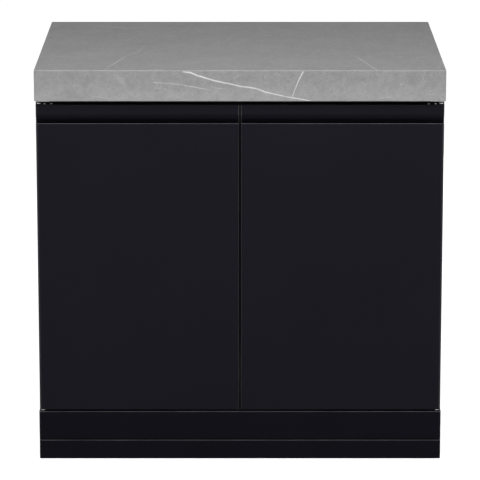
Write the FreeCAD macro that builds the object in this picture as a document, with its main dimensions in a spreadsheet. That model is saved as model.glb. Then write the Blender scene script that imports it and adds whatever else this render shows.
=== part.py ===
"""Outdoor kitchen base unit: a mitred stone worktop on a sheet-metal cabinet with two pivot-hung doors.

Millimetres. +Z is up, the doors face -Y, and the origin lies on the ground under the middle of the worktop.
"""

import FreeCAD, Part
import math
import os
import re

import Sketcher

SIZES = {
    # Worktop
    "worktop_width": 920,
    "worktop_depth": 700,
    "worktop_height": 70,
    "stone_thickness": 12,
    "stone_arris": 1.2,
    "batten_width": 60,
    "side_overhang": 1,
    "front_overhang": 12,
    "rear_overhang": 12,
    "pad_thickness": 3,
    "pad_length": 60,
    "pad_width": 28,
    # Heights, from the ground up
    "plinth_lift": 1,
    "plinth_height": 44,
    "plinth_gap": 1.5,
    "fascia_height": 66.5,
    "door_lift": 4,
    "door_height": 708,
    "door_headroom": 10,
    # Folded sheet of the carcass
    "sheet": 2,
    "back_sheet": 1.5,
    "bend_inner": 1,
    "return_width": 30,
    "panel_play": 1.5,
    "rail_height": 40,
    "rail_depth": 40,
    "rail_lip": 20,
    "floor_flange": 30,
    # Back panel
    "vent_width": 4,
    "vent_length": 44,
    "vent_pitch": 16,
    "vent_margin": 60,
    "port_radius": 30,
    "port_height": 210,
    "grommet_wall": 6,
    "grommet_rim": 5,
    "grommet_lip": 4,
    # Shelf and its supports
    "shelf_height": 345,
    "shelf_flange": 25,
    "shelf_setback": 40,
    "shelf_rear_gap": 20,
    "pilaster_width": 20,
    "pilaster_depth": 10,
    "pilaster_inset": 60,
    "pilaster_margin": 70,
    "pin_hole_radius": 2.5,
    "pin_hole_depth": 8,
    "pin_hole_pitch": 32,
    "shelf_pin_reach": 12,
    "shelf_pin_height": 9,
    # Fascia and plinth
    "fascia_wall": 2,
    "cap_thickness": 2,
    "edge_round": 2.5,
    "plinth_sheet": 2,
    "plinth_flange": 30,
    "plinth_hem": 12,
    "plinth_joint": 0.5,
    "corner_plate_size": 84,
    "corner_plate_thickness": 6,
    # Levelling feet
    "foot_inset": 52,
    "foot_pad_radius": 22,
    "foot_neck_radius": 15,
    "foot_pad_height": 8,
    "foot_hex_radius": 9.8,
    "foot_hex_height": 9,
    "foot_stud_radius": 5,
    "foot_stud_length": 48,
    # Doors
    "door_thickness": 22,
    "door_clearance": 4,
    "door_reveal": 1.5,
    "centre_gap": 4,
    "door_sheet": 1.5,
    "door_round": 1,
    "lip_round": 0.6,
    "liner_sheet": 1,
    "liner_inset": 0.5,
    # Finger pull along the top of each door
    "pull_strip": 21,
    "pull_mouth": 21.5,
    "pull_slant": 25,
    "pull_rear_space": 7,
    "pull_hook": 12.5,
    "pull_wall": 2,
    "pull_cove": 6,
    "pull_cap": 1.5,
    # Pivots
    "pivot_inset": 9,
    "pivot_pin_radius": 4,
    "pivot_play": 0.05,
    "pivot_relief": 0.6,
    "pivot_engagement": 14,
    "pivot_block_length": 40,
    "pivot_block_height": 20,
    "block_play": 0.2,
    "thrust_washer_radius": 6,
    "head_washer_radius": 5,
    "bracket_thickness": 3,
    "bracket_reach": 24,
    "bracket_nose": 9,
    "bracket_tail": 38,
    "block_screw_first": 21.3,
    "block_screw_pitch": 15,
    # Magnetic catch and bumpers
    "catch_width": 90,
    "catch_height": 14,
    "catch_depth": 26,
    "catch_air": 0.5,
    "magnet_width": 26,
    "magnet_height": 8,
    "magnet_depth": 10,
    "strike_thickness": 1,
    "strike_width": 40,
    "bumper_radius": 5,
    "bumper_air": 0.3,
    "bumper_margin": 60,
    # Screws
    "screw_radius": 2,
    "screw_head_radius": 3.6,
    "screw_head_height": 2,
    "screw_play": 0.1,
    "screw_bite": 3,
    "wood_screw_length": 25,
    "plinth_screw_pitch": 200,
    "bracket_screw_inset": 18,
}

# What follows from the sizes, each a formula in them.
DERIVED = {
    "half_width": "worktop_width / 2",
    "half_depth": "worktop_depth / 2",
    "body_half": "half_width - side_overhang",
    "door_front": "front_overhang - half_depth",
    "door_back": "door_front + door_thickness",
    "carcass_front": "door_back + door_clearance",
    "carcass_rear": "half_depth - rear_overhang",
    "front_inside": "carcass_front + sheet",
    "return_rear": "carcass_rear - back_sheet",
    "rear_inside": "return_rear - sheet",
    "web_inside": "body_half - sheet",
    "span_half": "web_inside - panel_play",
    "return_middle": "body_half - return_width / 2",
    "rail_screw_x": "body_half - return_width * 2 / 3",
    "bumper_x": "body_half - return_width + bumper_radius",
    "bend_outer": "bend_inner + sheet",
    "plinth_top": "plinth_lift + plinth_height",
    "fascia_bottom": "plinth_top + plinth_gap",
    "fascia_top": "fascia_bottom + fascia_height",
    "door_bottom": "fascia_top + door_lift",
    "door_top": "door_bottom + door_height",
    "worktop_bottom": "door_top + door_headroom",
    "worktop_top": "worktop_bottom + worktop_height",
    "slab_bottom": "worktop_top - stone_thickness",
    "carcass_top": "worktop_bottom - pad_thickness",
    "rail_bottom": "carcass_top - rail_height",
    "batten_front": "stone_thickness - half_depth",
    "batten_rear": "half_depth - stone_thickness",
    "batten_side": "half_width - stone_thickness",
    "shelf_top": "fascia_top + shelf_height",
    "shelf_under": "shelf_top - sheet",
    "shelf_front": "carcass_front + shelf_setback",
    "shelf_back": "rear_inside - shelf_rear_gap",
    "pilaster_face": "web_inside - pilaster_depth",
    "pilaster_foot": "fascia_top + pilaster_margin",
    "pilaster_head": "rail_bottom - pilaster_margin",
    "holes_below": "floor((shelf_pin_middle - pilaster_foot) / pin_hole_pitch - 0.5)",
    "holes_above": "floor((pilaster_head - shelf_pin_middle) / pin_hole_pitch - 0.5)",
    "first_pin_hole": "shelf_pin_middle - holes_below * pin_hole_pitch",
    "pilaster_front": "shelf_front + pilaster_inset",
    "pilaster_rear": "shelf_back - pilaster_inset",
    "shelf_half": "pilaster_face - panel_play",
    "shelf_pin_middle": "shelf_under - shelf_pin_height / 2",
    "corner_plate_bottom": "foot_pad_height + foot_hex_height",
    "foot_x": "body_half - plinth_sheet - foot_inset",
    "foot_front": "door_front + plinth_sheet + foot_inset",
    "foot_rear": "carcass_rear - plinth_sheet - foot_inset",
    "door_inner": "centre_gap / 2",
    "door_outer": "body_half - door_reveal",
    "liner_front": "door_back - liner_sheet",
    "pull_depth": "door_thickness - pull_rear_space",
    "pull_slope": "pull_slant / pull_depth",
    "pull_shift": "pull_wall * sqrt(1 + pull_slope ^ 2)",
    "pull_lip": "door_top - pull_strip - pull_mouth",
    "pull_flange": "pull_lip - lip_round * 2",
    "pull_knee": "door_top - pull_strip - pull_slant",
    "pull_floor": "pull_lip - pull_hook",
    "pull_bottom": "pull_floor - pull_wall",
    "block_top": "door_top - pull_wall",
    "block_bottom": "block_top - pivot_block_height",
    "block_slant": "(pull_wall + pivot_block_height + pull_shift - pull_strip) / pull_slope",
    "block_front": "door_front + max(pull_wall; block_slant) + block_play",
    "pivot_x": "body_half - pivot_inset",
    "pivot_y": "door_front + door_thickness / 2",
    "pivot_bore": "pivot_pin_radius + pivot_play",
    "pivot_hole": "pivot_pin_radius + pivot_relief",
    "bottom_bracket_top": "fascia_top - fascia_wall",
    "bottom_bracket_floor": "bottom_bracket_top - bracket_thickness",
    "catch_front": "door_back + strike_thickness + catch_air",
    "catch_bottom": "rail_bottom - catch_height",
    "catch_middle": "rail_bottom - catch_height / 2",
    "screw_hole": "screw_radius + screw_play",
}

CLEAR = 1  # how far a cutting tool runs past the face that it cuts through
SIDES = {"left": -1, "right": 1}
VENTS = 14  # slots in each row of vents, an even number so that none faces the gap between the doors
PAIR = (0.3, 0.7)  # where two screws sit along a flange, as shares of its width

doc = FreeCAD.newDocument("outdoor_kitchen_unit")
dims = doc.addObject("Spreadsheet::Sheet", "dims")
pieces = {}


def fill_sheet():
    """Writes each driving size into the spreadsheet, beside its name."""
    for row, (name, size) in enumerate(SIZES.items(), start=1):
        dims.set(f"A{row}", name)
        dims.set(f"B{row}", str(size))
        dims.setAlias(f"B{row}", name)
    doc.recompute()


def formula(text):
    """Spells a formula out in cells of the sheet."""

    def spell(match):
        word = match.group(0)
        if word in DERIVED:
            return f"({formula(DERIVED[word])})"
        return f"dims.{word}" if word in SIZES else word

    return re.sub(r"[A-Za-z_]\w*", spell, str(text))


def value(text):
    """The number that a formula gives now."""
    return float(dims.evalExpression(formula(text)))


def bind(thing, **formulas):
    """Ties properties of an object to formulas."""
    for name, text in formulas.items():
        thing.setExpression(name, formula(text))


def place(thing, x, y, z):
    """Ties an object's position to formulas."""
    for axis, text in zip("xyz", (x, y, z)):
        thing.setExpression(f"Placement.Base.{axis}", formula(text))


def keep(name, thing):
    """Takes a finished object as the sub-part of that name."""
    thing.Label = name
    pieces[name] = thing
    return thing


def mirrored(side, inner, outer):
    """The X span of a piece that lies between two distances from the middle, on one side."""
    if SIDES[side] > 0:
        return inner, outer
    return f"-({outer})", f"-({inner})"


def box(name, x, y, z):
    """A block between pairs of formulas on each axis."""
    made = doc.addObject("Part::Box", name)
    sizes = [f"({high}) - ({low})" for low, high in (x, y, z)]
    bind(made, Length=sizes[0], Width=sizes[1], Height=sizes[2])
    place(made, x[0], y[0], z[0])
    return made


TURNS = {
    "x": FreeCAD.Rotation(FreeCAD.Vector(0, 1, 0), 90),
    "y": FreeCAD.Rotation(FreeCAD.Vector(1, 0, 0), -90),
    "z": FreeCAD.Rotation(),
}


def rod(name, axis, radius, x, y, z, length):
    """A cylinder that starts at a point and runs along one axis."""
    made = doc.addObject("Part::Cylinder", name)
    made.Placement.Rotation = TURNS[axis]
    bind(made, Radius=radius, Height=length)
    place(made, x, y, z)
    return made


def compound(name, things):
    """Separate solids held as one object."""
    made = doc.addObject("Part::Compound", name)
    made.Links = things
    return made


def fused(name, first, second):
    """Two overlapping or touching solids as one."""
    made = doc.addObject("Part::Fuse", name)
    made.Base = first
    made.Tool = second
    return made


def cut(name, base, tools):
    """A solid less the tools, which have to take some of it away."""
    made = doc.addObject("Part::Cut", name)
    made.Base = base
    made.Tool = tools[0] if len(tools) == 1 else compound(f"{name}_tools", tools)
    doc.recompute()
    if made.Shape.Volume >= base.Shape.Volume:
        raise RuntimeError(f"{name}: the cut took nothing away")
    return made


def new_body(name):
    """An empty part-design body."""
    return doc.addObject("PartDesign::Body", name)


def outline(body, name, plane, offset, *loops):
    """A sketch of closed loops on an origin plane, each corner held by two dimensions from the origin."""
    sketch = body.newObject("Sketcher::SketchObject", name)
    support = next(item for item in body.Origin.OriginFeatures if item.Role == f"{plane}_Plane")
    sketch.AttachmentSupport = [(support, "")]
    sketch.MapMode = "FlatFace"
    sketch.setExpression("AttachmentOffset.Base.z", formula(offset))
    for corners in loops:
        first = sketch.GeometryCount
        count = len(corners)
        spots = [FreeCAD.Vector(value(u), value(v), 0) for u, v in corners]
        for index in range(count):
            sketch.addGeometry(Part.LineSegment(spots[index], spots[(index + 1) % count]))
        for index in range(count):
            following = first + (index + 1) % count
            sketch.addConstraint(Sketcher.Constraint("Coincident", first + index, 2, following, 1))
        for index, (u, v) in enumerate(corners):
            for kind, text in (("DistanceX", u), ("DistanceY", v)):
                held = Sketcher.Constraint(kind, -1, 1, first + index, 1, value(text))
                number = sketch.addConstraint(held)
                sketch.setExpression(f"Constraints[{number}]", formula(text))
    return sketch


def pad(body, sketch, length):
    """Extrudes a sketch along its normal."""
    made = body.newObject("PartDesign::Pad", f"{sketch.Name}_pad")
    made.Profile = sketch
    bind(made, Length=length)
    doc.recompute()
    return made


def pocket(body, sketch, length, towards_normal=False):
    """Cuts a sketch out of the body, against its normal or along it."""
    before = body.Shape.Volume
    made = body.newObject("PartDesign::Pocket", f"{sketch.Name}_pocket")
    made.Profile = sketch
    made.Reversed = towards_normal
    bind(made, Length=length)
    doc.recompute()
    if made.Shape.Volume >= before:
        raise RuntimeError(f"{sketch.Name}: the pocket took nothing away")
    return made


def extrusion(name, plane, start, length, *loops):
    """A body of one section on the YZ, XZ or XY plane, extruded along +X, -Y or +Z."""
    body = new_body(name)
    pad(body, outline(body, f"{name}_section", plane, start, *loops), length)
    return body


def edges_along(shape, axis, spots):
    """The names of the straight edges along an axis that pass through spots on the other two axes."""
    others = [n for n in range(3) if n != "xyz".index(axis)]
    wanted = [(value(u), value(v)) for u, v in spots]
    names = []
    for number, edge in enumerate(shape.Edges, start=1):
        ends = [vertex.Point for vertex in edge.Vertexes]
        if len(ends) != 2 or any(abs(ends[0][n] - ends[1][n]) > 1e-6 for n in others):
            continue
        if any(abs(ends[0][others[0]] - u) + abs(ends[0][others[1]] - v) < 1e-3 for u, v in wanted):
            names.append(f"Edge{number}")
    return names


def rounded(body, name, radius, axis, spots):
    """Fillets the edges of a body along an axis, found by where they pass."""
    base = body.Tip
    names = edges_along(base.Shape, axis, spots)
    if not names:
        raise RuntimeError(f"{name}: no edge to round")
    made = body.newObject("PartDesign::Fillet", name)
    made.Base = (base, names)
    bind(made, Radius=radius)
    doc.recompute()
    if made.Shape.isNull() or not made.Shape.isValid():
        raise RuntimeError(f"{name}: the edges could not be rounded")
    return made


def channel(name, plane, start, length, web, lips, across, thickness, flat=False):
    """A folded channel: a web with a lip at each end, bent round both corners.

    `web` gives the line of the web's outer face and the two levels that it runs between. The lips are as long as
    `lips` and point towards `across`, +1 or -1. A flat web runs along the section's first axis, not its second.
    """
    line, low, high = web
    inner = f"({line}) + {across} * ({thickness})"
    tips = [f"({line}) + {across} * ({lip})" for lip in lips]
    low_inside = f"({low}) + ({thickness})"
    high_inside = f"({high}) - ({thickness})"
    loop = [
        (line, low),
        (tips[0], low),
        (tips[0], low_inside),
        (inner, low_inside),
        (inner, high_inside),
        (tips[1], high_inside),
        (tips[1], high),
        (line, high),
    ]
    inside = [(inner, low_inside), (inner, high_inside)]
    outside = [(line, low), (line, high)]
    if flat:
        loop, inside, outside = ([(v, u) for u, v in corners] for corners in (loop, inside, outside))
    body = extrusion(name, plane, start, length, loop)
    axis = {"YZ": "x", "XZ": "y", "XY": "z"}[plane]
    rounded(body, f"{name}_inner_bends", "bend_inner", axis, inside)
    rounded(body, f"{name}_outer_bends", f"bend_inner + ({thickness})", axis, outside)
    return body


def circle(body, name, plane, offset, radius, u, v):
    """A sketch of one circle on an origin plane."""
    sketch = outline(body, name, plane, offset)
    centre = FreeCAD.Vector(value(u), value(v), 0)
    sketch.addGeometry(Part.Circle(centre, FreeCAD.Vector(0, 0, 1), value(radius)))
    held = [
        (Sketcher.Constraint("Radius", 0, value(radius)), radius),
        (Sketcher.Constraint("DistanceX", -1, 1, 0, 3, value(u)), u),
        (Sketcher.Constraint("DistanceY", -1, 1, 0, 3, value(v)), v),
    ]
    for constraint, text in held:
        number = sketch.addConstraint(constraint)
        sketch.setExpression(f"Constraints[{number}]", formula(text))
    return sketch


def slot(body, name, plane, offset, width, length, u, v):
    """A sketch of one upright slot with round ends, about a middle point."""
    sketch = outline(body, name, plane, offset)
    radius = f"({width}) / 2"
    reach = f"({length}) / 2 - ({radius})"
    ends = [f"({v}) + ({reach})", f"({v}) - ({reach})"]
    up = FreeCAD.Vector(0, 0, 1)
    middle, size = value(u), value(radius)
    top, bottom = (FreeCAD.Vector(middle, value(end), 0) for end in ends)
    aside = FreeCAD.Vector(size, 0, 0)
    sketch.addGeometry(Part.ArcOfCircle(Part.Circle(top, up, size), 0, math.pi))
    sketch.addGeometry(Part.LineSegment(top - aside, bottom - aside))
    sketch.addGeometry(Part.ArcOfCircle(Part.Circle(bottom, up, size), math.pi, 2 * math.pi))
    sketch.addGeometry(Part.LineSegment(bottom + aside, top + aside))
    for index in range(4):
        sketch.addConstraint(Sketcher.Constraint("Tangent", index, 2, (index + 1) % 4, 1))
    held = [
        (Sketcher.Constraint("Radius", 0, size), radius),
        (Sketcher.Constraint("DistanceX", -1, 1, 0, 3, middle), u),
        (Sketcher.Constraint("DistanceY", -1, 1, 0, 3, top.y), ends[0]),
        (Sketcher.Constraint("DistanceY", -1, 1, 2, 3, bottom.y), ends[1]),
    ]
    for constraint, text in held:
        number = sketch.addConstraint(constraint)
        sketch.setExpression(f"Constraints[{number}]", formula(text))
    return sketch


def row(body, feature, axis, count, length):
    """Repeats a feature in a line along an axis of its sketch."""
    made = body.newObject("PartDesign::LinearPattern", f"{feature.Name}_row")
    made.Originals = [feature]
    made.Direction = (feature.Profile[0], [axis])
    bind(made, Occurrences=count, Length=length)
    body.Tip = made
    doc.recompute()
    return made


def screw(name, axis, sense, length, **spot):
    """A button-head screw whose head seats at a point, with its shank along the axis in that sense."""
    seat = spot[axis]
    shank_at = seat if sense > 0 else f"({seat}) - ({length})"
    head_at = f"({seat}) - screw_head_height" if sense > 0 else seat
    shank = rod(f"{name}_shank", axis, "screw_radius", length=length, **{**spot, axis: shank_at})
    height = "screw_head_height"
    head = rod(f"{name}_head", axis, "screw_head_radius", length=height, **{**spot, axis: head_at})
    return fused(name, head, shank)


def screw_hole(name, axis, sense, length, **spot):
    """The clearance hole of the screw at the same point."""
    deep = f"({length}) + {2 * CLEAR}"
    start = f"({spot[axis]}) - {CLEAR}" if sense > 0 else f"({spot[axis]}) - ({length}) - {CLEAR}"
    return rod(f"{name}_hole", axis, "screw_hole", length=deep, **{**spot, axis: start})


class Fixings:
    """Screws of one kind with the holes that they need, kept by place."""

    def __init__(self, name, axis, sense, length):
        self.name, self.axis, self.sense, self.length = name, axis, sense, length
        self.screws = []
        self.holes = {}

    def add(self, place_name, x, y, z):
        """Puts one screw at a point."""
        name = f"{self.name}_{len(self.screws) + 1}"
        spot = {"x": x, "y": y, "z": z}
        self.screws.append(screw(name, self.axis, self.sense, self.length, **spot))
        made = screw_hole(name, self.axis, self.sense, self.length, **spot)
        self.holes.setdefault(place_name, []).append(made)

    def at(self, *place_names):
        """The holes at the places named."""
        return [hole for name in place_names for hole in self.holes[name]]


def mitre(end_sign, end, face_sign, face):
    """What a 45 degree mitre with an eased arris takes off a stone board's end, as a loop of corners."""
    past = f"{face_sign} * ({face} + {CLEAR})"
    behind = f"{face_sign} * ({face} - stone_thickness - {CLEAR})"
    outside = f"{end_sign} * ({end} + {CLEAR})"
    return [
        (f"{end_sign} * ({end} - stone_arris - {CLEAR})", past),
        (f"{end_sign} * ({end} - stone_arris / 2)", f"{face_sign} * ({face} - stone_arris / 2)"),
        (f"{end_sign} * ({end} - stone_thickness - {CLEAR})", behind),
        (outside, behind),
        (outside, past),
    ]


def worktop_slab():
    """The top board, mitred along all four edges."""
    loop = []
    for sign in (-1, 1):
        corners = [
            (f"{sign} * (half_width - stone_arris)", "worktop_top"),
            (f"{sign} * (half_width - stone_arris / 2)", "worktop_top - stone_arris / 2"),
            (f"{sign} * batten_side", "slab_bottom"),
        ]
        loop += corners if sign > 0 else corners[::-1]
    slab = extrusion("slab_board", "XZ", "-half_depth", "worktop_depth", loop)
    for name, sign in (("front", -1), ("rear", 1)):
        corners = mitre(sign, "half_depth", 1, "worktop_top")
        edge = outline(slab, f"slab_{name}_mitre", "YZ", f"half_width + {CLEAR}", corners)
        pocket(slab, edge, f"worktop_width + {2 * CLEAR}")
    keep("worktop_slab", slab)


def worktop_apron(name, plane, sign, half, run_half):
    """An edge board hung under one side of the slab and mitred to it and to its neighbours."""
    face = f"{sign} * ({half})"
    eased = f"{sign} * ({half} - stone_arris / 2)"
    back = f"{sign} * ({half} - stone_thickness)"
    loop = [
        (face, "worktop_bottom + stone_arris / 2"),
        (face, "worktop_top - stone_arris"),
        (eased, "worktop_top - stone_arris / 2"),
        (back, "slab_bottom"),
        (back, "worktop_bottom"),
        (eased, "worktop_bottom"),
    ]
    board = extrusion(f"{name}_board", plane, f"-({run_half})", f"2 * ({run_half})", loop)
    for end, end_sign in (("first", -1), ("last", 1)):
        corners = mitre(end_sign, run_half, sign, half)
        if plane == "XZ":
            corners = [(u, v) for v, u in corners]
        edge = outline(board, f"{name}_{end}_mitre", "XY", f"worktop_top + {CLEAR}", corners)
        pocket(board, edge, f"worktop_height + {2 * CLEAR}")
    keep(name, board)


def worktop_battens(fixings):
    """The frame of battens inside the aprons that carries the slab."""
    height = ("worktop_bottom", "slab_bottom")
    bars = []
    for name, sign in (("front", -1), ("rear", 1)):
        ends = ("batten_front", "batten_front + batten_width")
        depth = ends if sign < 0 else ("batten_rear - batten_width", "batten_rear")
        bar = box(f"{name}_batten_bar", ("-batten_side", "batten_side"), depth, height)
        bars.append(cut(f"{name}_batten", bar, fixings.at(name)))
    for side in SIDES:
        across = mirrored(side, "batten_side - batten_width", "batten_side")
        depth = ("batten_front + batten_width", "batten_rear - batten_width")
        bars.append(box(f"{side}_batten", across, depth, height))
    keep("worktop_battens", compound("batten_set", bars))


def worktop_pads():
    """Rubber pads between the carcass rails and the battens."""
    height = ("carcass_top", "worktop_bottom")
    front = ("front_inside + sheet", "front_inside + sheet + pad_width")
    rear = ("rear_inside - sheet - pad_width", "rear_inside - sheet")
    spots = [(depth, f"{step} * body_half / 4") for depth in (front, rear) for step in (-1, 1)]
    spots += [(rear, f"{sign} * (span_half - pad_length / 2)") for sign in (-1, 1)]
    pads = []
    for number, (depth, x) in enumerate(spots, start=1):
        across = (f"({x}) - pad_length / 2", f"({x}) + pad_length / 2")
        pads.append(box(f"worktop_pad_{number}", across, depth, height))
    keep("worktop_pads", compound("worktop_pad_set", pads))


def side_panel(side, holes):
    """A folded side sheet with a return along its front, rear and lower edges."""
    sign = SIDES[side]
    name = f"side_panel_{side}"
    web = (f"{sign} * body_half", "carcass_front", "return_rear")
    lips = ("return_width", "return_width")
    tall = "carcass_top - plinth_top"
    sheet = channel(f"{name}_sheet", "XY", "plinth_top", tall, web, lips, -sign, "sheet")
    inner, outer = mirrored(side, "body_half - return_width", "body_half - bend_outer")
    near, far = "front_inside", "rear_inside"
    foot = [(inner, near), (outer, near), (outer, far), (inner, far)]
    pad(sheet, outline(sheet, f"{name}_lower_return", "XY", "plinth_top", foot), "sheet")
    keep(name, cut(name, sheet, holes))


def cross_rail(name, half, web, lips, across, thickness, holes):
    """A channel with an upright web, across the unit, open to the rear (+1) or to the front (-1)."""
    sheet = channel(f"{name}_sheet", "YZ", f"-({half})", f"2 * ({half})", web, lips, across, thickness)
    keep(name, cut(name, sheet, holes) if holes else sheet)


def tray(name, half, top, front, rear, flange, holes):
    """A flat sheet with its front and rear edges folded down."""
    web = (top, front, rear)
    lips = (flange, flange)
    sheet = channel(f"{name}_sheet", "YZ", f"-({half})", f"2 * ({half})", web, lips, -1, "sheet", flat=True)
    keep(name, cut(name, sheet, holes) if holes else sheet)


def back_panel(holes):
    """A flat back sheet with two rows of vents and a round service port."""
    half = "body_half - bend_outer"
    bottom = "plinth_top + sheet"
    edges = [(f"-({half})", bottom), (half, bottom), (half, "carcass_top"), (f"-({half})", "carcass_top")]
    sheet = extrusion("back_sheet_body", "XZ", "-carcass_rear", "back_sheet", edges)
    levels = {"upper": "rail_bottom - vent_margin", "lower": "fascia_top + vent_margin"}
    reach = f"{VENTS - 1} * vent_pitch"
    for name, level in levels.items():
        size = ("vent_width", "vent_length")
        vent = slot(sheet, f"{name}_vent", "XZ", "-carcass_rear", *size, f"-({reach}) / 2", level)
        row(sheet, pocket(sheet, vent, "back_sheet", towards_normal=True), "H_Axis", VENTS, reach)
    port = rod("port_tool", "y", "port_radius", "0", f"return_rear - {CLEAR}", "fascia_top + port_height",
               f"back_sheet + {2 * CLEAR}")
    keep("back_panel", cut("back_panel", sheet, [port] + holes))


def service_grommet():
    """A rubber ring that lines the service port, with a lip on each side of the sheet."""
    body = new_body("grommet_ring")
    inner = "port_radius - grommet_wall"
    outer = "port_radius + grommet_rim"
    inside = "return_rear - grommet_lip"
    outside = "carcass_rear + grommet_lip"
    corners = [
        (inside, inner),
        (outside, inner),
        (outside, outer),
        ("carcass_rear", outer),
        ("carcass_rear", "port_radius"),
        ("return_rear", "port_radius"),
        ("return_rear", outer),
        (inside, outer),
    ]
    section = outline(body, "grommet_section", "YZ", "0", corners)
    section.setExpression("AttachmentOffset.Base.y", formula("fascia_top + port_height"))
    ring = body.newObject("PartDesign::Revolution", "grommet_turn")
    ring.Profile = section
    ring.ReferenceAxis = (section, ["H_Axis"])
    ring.Angle = 360
    doc.recompute()
    keep("service_grommet", body)


def shelf_pilasters():
    """Upright bars with rows of blind holes, two on each side panel, that the shelf pins plug into."""
    tall = "pilaster_head - pilaster_foot"
    bars = []
    for side, sign in SIDES.items():
        inner, outer = mirrored(side, "pilaster_face", "web_inside")
        for place_name in ("front", "rear"):
            name = f"{side}_{place_name}_pilaster"
            middle = f"pilaster_{place_name}"
            near = f"{middle} - pilaster_width / 2"
            far = f"{middle} + pilaster_width / 2"
            corners = [(inner, near), (outer, near), (outer, far), (inner, far)]
            bar = extrusion(name, "XY", "pilaster_foot", tall, corners)
            face = f"{sign} * pilaster_face"
            hole = circle(bar, f"{name}_hole", "YZ", face, "pin_hole_radius", middle, "first_pin_hole")
            drilled = pocket(bar, hole, "pin_hole_depth", towards_normal=sign > 0)
            steps = "holes_below + holes_above"
            row(bar, drilled, "V_Axis", f"{steps} + 1", f"({steps}) * pin_hole_pitch")
            bars.append(bar)
    keep("shelf_pilasters", compound("pilaster_set", bars))


def shelf_pins():
    """Pins with flat-topped arms, in the holes of the pilasters, that the shelf lies on."""
    pins = []
    radius = "pin_hole_radius - block_play"
    length = "pin_hole_depth - block_play"
    height = ("shelf_under - shelf_pin_height", "shelf_under")
    for side, sign in SIDES.items():
        start = "pilaster_face" if sign > 0 else f"-(pilaster_face + {length})"
        across = mirrored(side, "pilaster_face - shelf_pin_reach", "pilaster_face")
        for place_name in ("front", "rear"):
            name = f"{side}_{place_name}_shelf_pin"
            middle = f"pilaster_{place_name}"
            stem = rod(f"{name}_stem", "x", radius, start, middle, "shelf_pin_middle", length)
            depth = (f"{middle} - shelf_pin_height / 2", f"{middle} + shelf_pin_height / 2")
            pins.append(fused(name, box(f"{name}_arm", across, depth, height), stem))
    keep("shelf_pins", compound("shelf_pin_set", pins))


def fascia(holes):
    """A rectangular tube flush with the doors, with a plate over each end."""
    half = "body_half - cap_thickness"
    front, rear, low, high = "door_front", "carcass_front", "fascia_bottom", "fascia_top"
    outer = [(front, low), (rear, low), (rear, high), (front, high)]
    wall = "fascia_wall"
    near, far = f"{front} + {wall}", f"{rear} - {wall}"
    under, over = f"{low} + {wall}", f"{high} - {wall}"
    inner = [(near, under), (far, under), (far, over), (near, over)]
    tube = extrusion("fascia_tube", "YZ", f"-({half})", f"2 * ({half})", outer, inner)
    rounded(tube, "fascia_tube_corners", "edge_round", "x", outer)
    keep("fascia_rail", cut("fascia_rail", tube, holes))
    caps = []
    for side, sign in SIDES.items():
        start, _ = mirrored(side, half, "body_half")
        cap = extrusion(f"{side}_fascia_cap", "YZ", start, "cap_thickness", outer)
        rounded(cap, f"{side}_fascia_cap_corners", "edge_round", "x", outer)
        caps.append(cap)
    keep("fascia_end_caps", compound("fascia_cap_set", caps))


def plinth_cross_rail(name, face, inwards):
    """A front or rear plinth rail: a folded channel with its two ends closed."""
    edge = f"{face} + {inwards} * plinth_flange"
    low, high = "plinth_lift", "plinth_top"
    blank = [(face, low), (edge, low), (edge, high), (face, high)]
    rail = extrusion(f"{name}_sheet", "YZ", "-body_half", "2 * body_half", blank)
    rounded(rail, f"{name}_bends", "edge_round", "x", [(face, low), (face, high)])
    web = f"{face} + {inwards} * plinth_sheet"
    hem = f"{face} + {inwards} * plinth_hem"
    past = f"{edge} + {inwards} * {CLEAR}"
    floor, roof = f"{low} + plinth_sheet", f"{high} - plinth_sheet"
    under = f"{low} - {CLEAR}"
    hollow = [(web, floor), (web, roof), (past, roof), (past, under), (hem, under), (hem, floor)]
    inside = "body_half - plinth_sheet"
    pocket(rail, outline(rail, f"{name}_hollow", "YZ", inside, hollow), f"2 * ({inside})")
    keep(name, rail)


def corner_plate(side, place_name):
    """A plate in a corner of the plinth, with a hole for a foot's stud."""
    name = f"{place_name}_{side}_corner_plate"
    web = "body_half - plinth_sheet"
    across = mirrored(side, f"{web} - corner_plate_size", web)
    near, far = "door_front + plinth_sheet", "carcass_rear - plinth_sheet"
    depth = {
        "front": (near, f"{near} + corner_plate_size"),
        "rear": (f"{far} - corner_plate_size", far),
    }
    height = ("corner_plate_bottom", "corner_plate_bottom + corner_plate_thickness")
    blank = box(f"{name}_blank", across, depth[place_name], height)
    radius = "foot_stud_radius + screw_play"
    start = f"corner_plate_bottom - {CLEAR}"
    deep = f"corner_plate_thickness + {2 * CLEAR}"
    x = f"{SIDES[side]} * foot_x"
    return cut(name, blank, [rod(f"{name}_hole", "z", radius, x, f"foot_{place_name}", start, deep)])


def plinth(fixings):
    """Four folded rails under the carcass, with a plate welded into each corner for the feet."""
    plinth_cross_rail("plinth_front", "door_front", 1)
    plinth_cross_rail("plinth_rear", "carcass_rear", -1)
    levels = ("plinth_lift", "plinth_top")
    lips = ("plinth_hem", "plinth_flange")
    front = "door_front + plinth_flange + plinth_joint"
    rear = "carcass_rear - plinth_flange - plinth_joint"
    plates = []
    for side, sign in SIDES.items():
        name = f"plinth_{side}"
        web = (f"{sign} * body_half", *levels)
        long = f"({rear}) - ({front})"
        rail = channel(f"{name}_sheet", "XZ", f"-({rear})", long, web, lips, -sign, "plinth_sheet")
        keep(name, cut(name, rail, fixings.at(side)))
        plates += [corner_plate(side, place_name) for place_name in ("front", "rear")]
    keep("corner_plates", compound("corner_plate_set", plates))


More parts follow.
